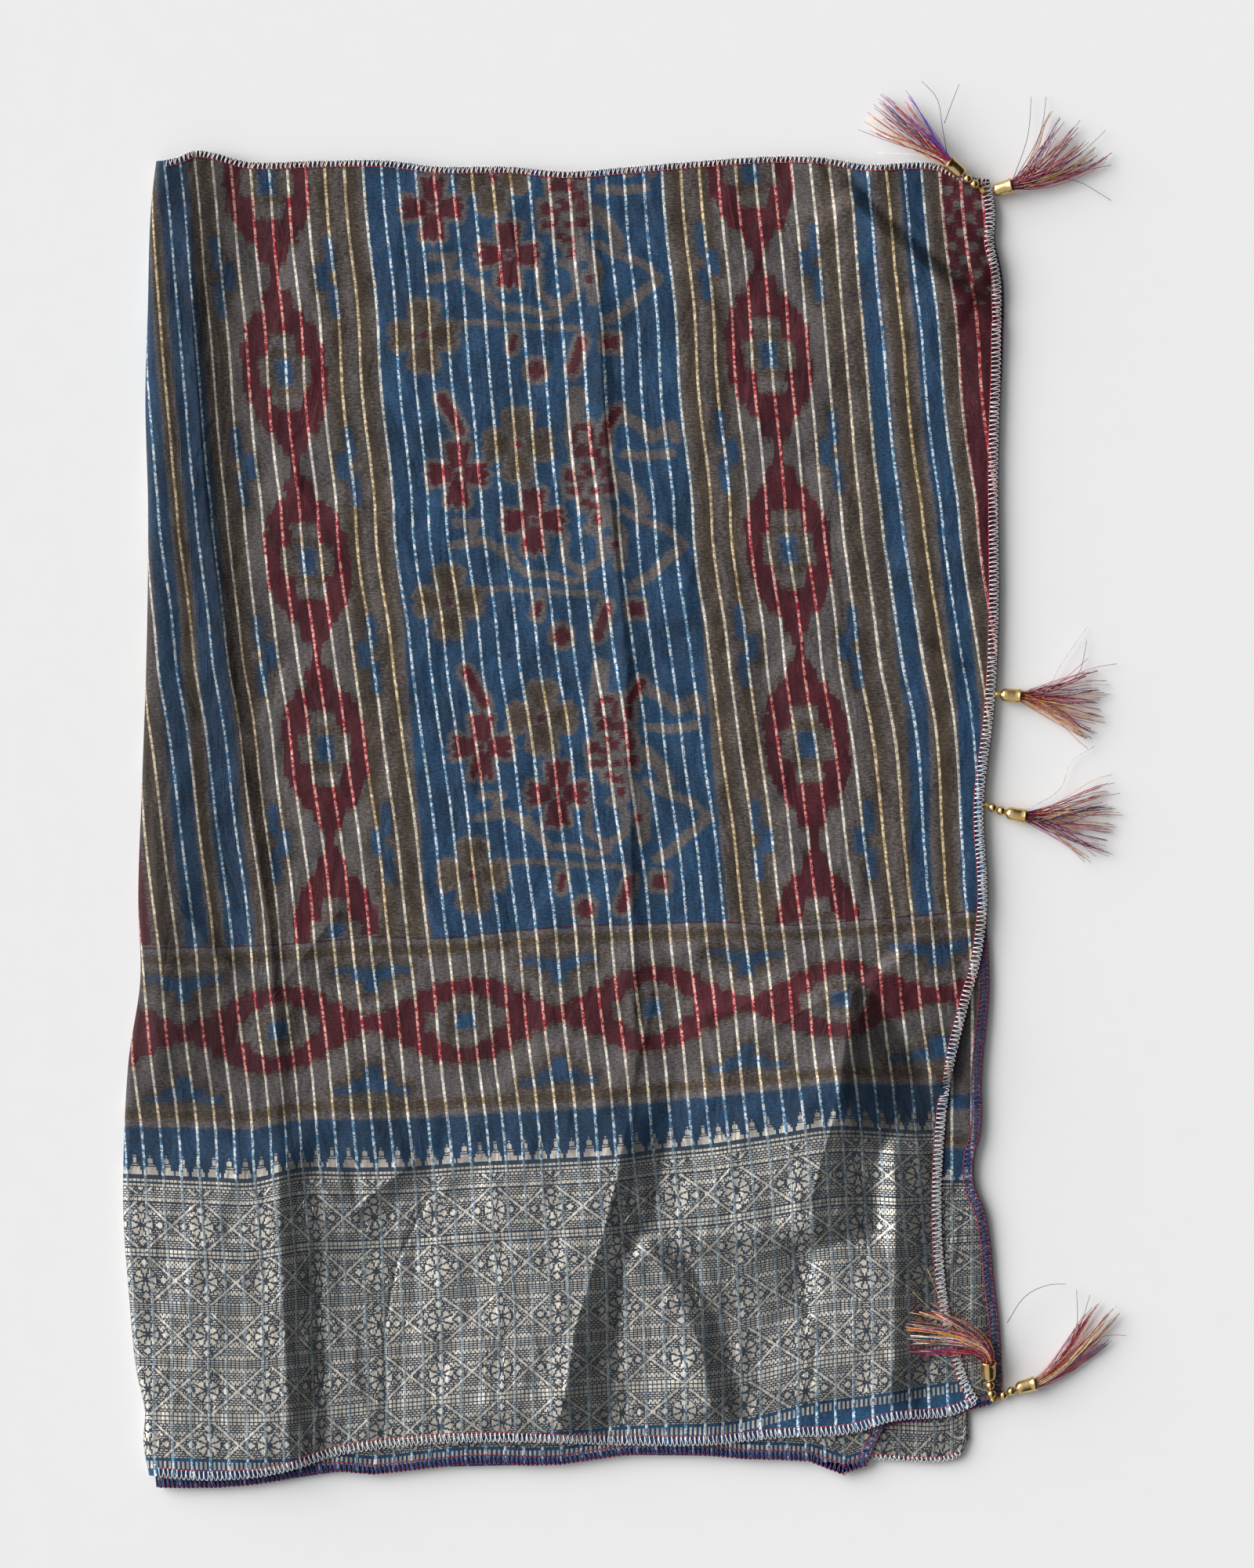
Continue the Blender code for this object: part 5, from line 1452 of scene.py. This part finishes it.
def wound_thread(start, end, first, last, turns, radius, thread):
    """Thread wound round the line from start to end, between two distances along it."""
    start = np.array(start)
    turn = np.array(frame_along(Vector(end) - Vector(start)))
    count = max(int(turns * 10), 6)
    share = np.linspace(0.0, 1.0, count)
    angle = share * turns * 2 * np.pi
    bulge = radius * (0.45 + 0.55 * np.sin(np.pi * share)) if turns > 1 else radius
    local = np.stack([first + (last - first) * share, bulge * np.cos(angle), bulge * np.sin(angle)], axis=1)
    return thread_tubes((start + local @ turn.T)[None], thread, 5)


for tassel in TASSELS:
    if not tassel["knot"]:
        continue
    name = tassel["name"]
    run = Vector(tassel["neck"]) - Vector(tassel["knot"])
    length, way = run.length, run.normalized()
    wound = [
        wound_thread(tassel["knot"], tassel["neck"], -1.2, length - 0.4, 0.8, 0.3, 0.34),
        wound_thread(tassel["knot"], tassel["neck"], -1.3, 1.3, 4.5, 1.0, 0.36),
    ]
    threads = thread_piece("loop_" + name, wound, yellow_thread)
    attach(threads, "root")
    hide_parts("tassel_" + name + "_loop")
    for number in range(tassel["beads"]):
        middle = Vector(tassel["knot"]) + way * (length - BEAD_CLEAR - (2 * number + 1) * BEAD_RADIUS)
        made = copy_of(bead, f"bead_{name}_{number + 1}")
        place_on(made, middle, middle + way)
        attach(made, "root")
drop_original(bead)

# Tassel threads
# Each skirt is a bundle of some 80 mixed threads, dark red, rose, orange, gold, cream, violet and grey, cut
# to uneven lengths. They leave the cap together, spread into a fan and lie down on what is under them.
THREADS_EACH = 84
LOCKS = 11
PLUG_SET_BACK = 0.6
STRAIGHT_START = 9.0
ROOT_SPREAD = 2.7
LOOSE_SHARE = 0.125
LOCK_COLOUR_SHARE = 0.45
PATH_POINTS = 11
LOWEST = 0.35

# Loose threads that stand apart from their skirt: shade, and path in the picture's pixels
LOOSE_THREADS = [
    (0.85, [(1208, 202), (1202, 164), (1194, 123), (1176, 103)]),
    (0.85, [(1204, 159), (1214, 132), (1224, 107)]),
    (0.65, [(1205, 205), (1150, 196), (1120, 195)]),
    (0.85, [(1200, 203), (1132, 180), (1095, 165)]),
    (0.85, [(1290, 235), (1312, 170), (1316, 123)]),
    (0.85, [(1290, 237), (1330, 160), (1335, 123)]),
    (0.85, [(1296, 240), (1372, 230), (1418, 255)]),
    (0.05, [(1296, 240), (1370, 220), (1418, 210)]),
    (0.65, [(1300, 880), (1329, 882), (1355, 845), (1387, 800)]),
    (0.85, [(1302, 884), (1376, 860), (1387, 817)]),
    (0.65, [(1308, 1034), (1355, 1003), (1366, 972), (1397, 952)]),
    (0.55, [(1258, 1735), (1212, 1681), (1182, 1617)]),
    (0.55, [(1256, 1732), (1193, 1675), (1161, 1644)]),
    (0.05, [(1254, 1734), (1168, 1671), (1158, 1652)]),
    (0.05, [(1250, 1739), (1182, 1722), (1138, 1727), (1116, 1744)]),
    (0.85, [(1330, 1765), (1374, 1691), (1374, 1646)]),
    (0.85, [(1334, 1764), (1380, 1688), (1391, 1652)]),
    (0.3, [(1336, 1766), (1419, 1703), (1437, 1704)]),
    (0.85, [(1284, 1686), (1310, 1650), (1342, 1637), (1359, 1637)]),
]


def skirt_paths(tassel, seed):
    """The curve of each thread of a skirt, (threads, steps, 3), and its shade."""
    draw = np.random.default_rng(seed)
    neck, mouth = np.array(tassel["neck"]), np.array(tassel["mouth"])
    way = (mouth - neck) / np.linalg.norm(mouth - neck)
    start = mouth - way * PLUG_SET_BACK
    control = [start, start + way * STRAIGHT_START, np.array(tassel["bend"]), np.array(tassel["tips"])]
    share = np.linspace(-0.06, 1.0, PATH_POINTS)
    number = np.arange(THREADS_EACH)
    seat = np.sqrt((number + 0.5) / THREADS_EACH)
    angle = number * math.pi * (3 - math.sqrt(5))
    sideways = seat * np.cos(angle) + draw.normal(0.0, 0.05, THREADS_EACH)
    upward = seat * np.sin(angle)
    # they cling together in locks, and one in eight has come loose, stands wider and curls more
    loose = draw.uniform(0.0, 1.0, THREADS_EACH) < LOOSE_SHARE
    lock = draw.integers(0, LOCKS, THREADS_EACH)
    lock_side = np.linspace(-1.0, 1.0, LOCKS) + draw.normal(0.0, 0.07, LOCKS)
    lock_long = draw.uniform(0.86, 1.03, LOCKS)
    lock_bow = draw.normal(0.0, 0.9, LOCKS)
    at_tip = lock_side[lock] + draw.normal(0.0, 1.0, THREADS_EACH) * np.where(loose, 0.3, 0.045)
    tip = draw.uniform(0.88, 1.02, THREADS_EACH) * lock_long[lock] - 0.06 * at_tip**2
    bow = draw.normal(0.0, 1.0, (THREADS_EACH, 2))
    s = share[None, :] * tip[:, None]
    rest = 1 - s
    weights = [rest**3, 3 * rest**2 * s, 3 * rest * s**2, s**3]
    centre = sum(w[..., None] * c for w, c in zip(weights, control))
    run = sum(
        w[..., None] * (b - a)
        for w, a, b in zip([rest**2, 2 * rest * s, s**2], control[:-1], control[1:])
    )
    run /= np.linalg.norm(run, axis=2)[..., None]
    level = np.cross((0.0, 0.0, 1.0), run)
    level /= np.linalg.norm(level, axis=2)[..., None]
    up = np.cross(run, level)
    opened = np.maximum(s, 0.0)
    spread = ROOT_SPREAD + (tassel["fan"] - ROOT_SPREAD) * opened**1.15
    depth = ROOT_SPREAD * (1 - 0.25 * opened)
    gathered = np.minimum(opened * 1.25, 1.0) ** 0.8
    curl = np.where(loose, 2.2, 0.45)[:, None] * bow[:, :1]
    wave = np.sin(opened * (3.0 + bow[:, 1:]) * 2.0 + bow[:, :1] * 3) * opened * curl
    wave = wave + lock_bow[lock][:, None] * np.sin(opened * 4.2) * opened
    side = (sideways[:, None] * (1 - gathered) + at_tip[:, None] * gathered) * spread + wave
    height = upward[:, None] * depth * (1 - 0.5 * gathered)
    paths = centre + level * side[..., None] + up * height[..., None]
    # nearly half of a lock's threads are of one colour
    shade = draw.uniform(0.0, 1.0, THREADS_EACH)
    as_lock = draw.uniform(0.0, 1.0, THREADS_EACH) < LOCK_COLOUR_SHARE
    return paths, np.where(as_lock, draw.uniform(0.0, 1.0, LOCKS)[lock], shade)


def loose_path(pixels, lift):
    """A thread laid through picture pixels, from its cap down to what is under it."""
    table = np.array(pixels, float)
    flat = np.stack(from_pixels(table[:, 0], table[:, 1]), axis=1)
    share = np.linspace(0.0, 1.0, PATH_POINTS)
    flat = point_at_share([tuple(p) for p in flat], share)
    return np.concatenate([flat, (lift[0] + (lift[1] - lift[0]) * share)[:, None]], axis=1)


# Mixed rayon and metallic thread: soft gloss, each thread in one of ten colours
mixed, tree, shader = new_material("mixed_tassel_thread")
dye = node(tree, "Attribute", out=2, attribute_name="thread_dye")
palette = node(tree, "ValToRGB", [dye])
ramp = palette.node.color_ramp
ramp.interpolation = "CONSTANT"
SHADES = ["#A01634", "#BE2A4A", "#CE566E", "#E6ACA8", "#EFA84E"]
SHADES += ["#F2D692", "#F8F1E6", "#6A4AB2", "#4C4454", "#A81E3E"]
for number, code in enumerate(SHADES):
    position = number / len(SHADES)
    # a colour ramp has two stops from the start
    stop = ramp.elements[number] if number < 2 else ramp.elements.new(position)
    stop.position = position
    stop.color = linear(code)
# lighter and darker spots along the threads: tone that varies, and painted glints where they are lightest
tone_and_painted_glint = node(tree, "TexNoise", {"Vector": node(tree, "TexCoord", out=3), "Scale": 500.0, "Detail": 2.0})
tone_and_painted_glint = node(tree, "MapRange", {0: tone_and_painted_glint, 1: 0.35, 2: 0.65, 3: 0.7, 4: 1.2})
tint = node(tree, "Mix", {0: 1.0, 6: palette, 7: tone_and_painted_glint}, out=2, data_type="RGBA", blend_type="MULTIPLY")
feed(tree, shader, Base_Color=tint, Roughness=0.4, Metallic=0.15)

for number, tassel in enumerate(TASSELS):
    paths, shades = skirt_paths(tassel, 60 + number)
    mouth = np.array(tassel["mouth"])
    for shade, pixels in LOOSE_THREADS:
        start = np.array(from_pixels(*pixels[0]))
        others = [np.linalg.norm(start - np.array(t["mouth"][:2])) for t in TASSELS]
        if np.argmin(others) == number:
            paths = np.concatenate([paths, loose_path(pixels, (mouth[2], tassel["tips"][2]))[None]])
            shades = np.append(shades, shade)
    paths[..., 2] = np.maximum(paths[..., 2], LOWEST)
    radius = np.linspace(0.25, 0.16, paths.shape[1])[None, :]
    points, faces = thread_tubes(paths, radius, 3)
    dyes = np.repeat(shades, paths.shape[1] * 3)
    made = thread_piece("skirt_" + tassel["name"], [(points, faces)], mixed, [dyes])
    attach(made, "root")
    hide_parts("tassel_" + tassel["name"] + "_skirt")
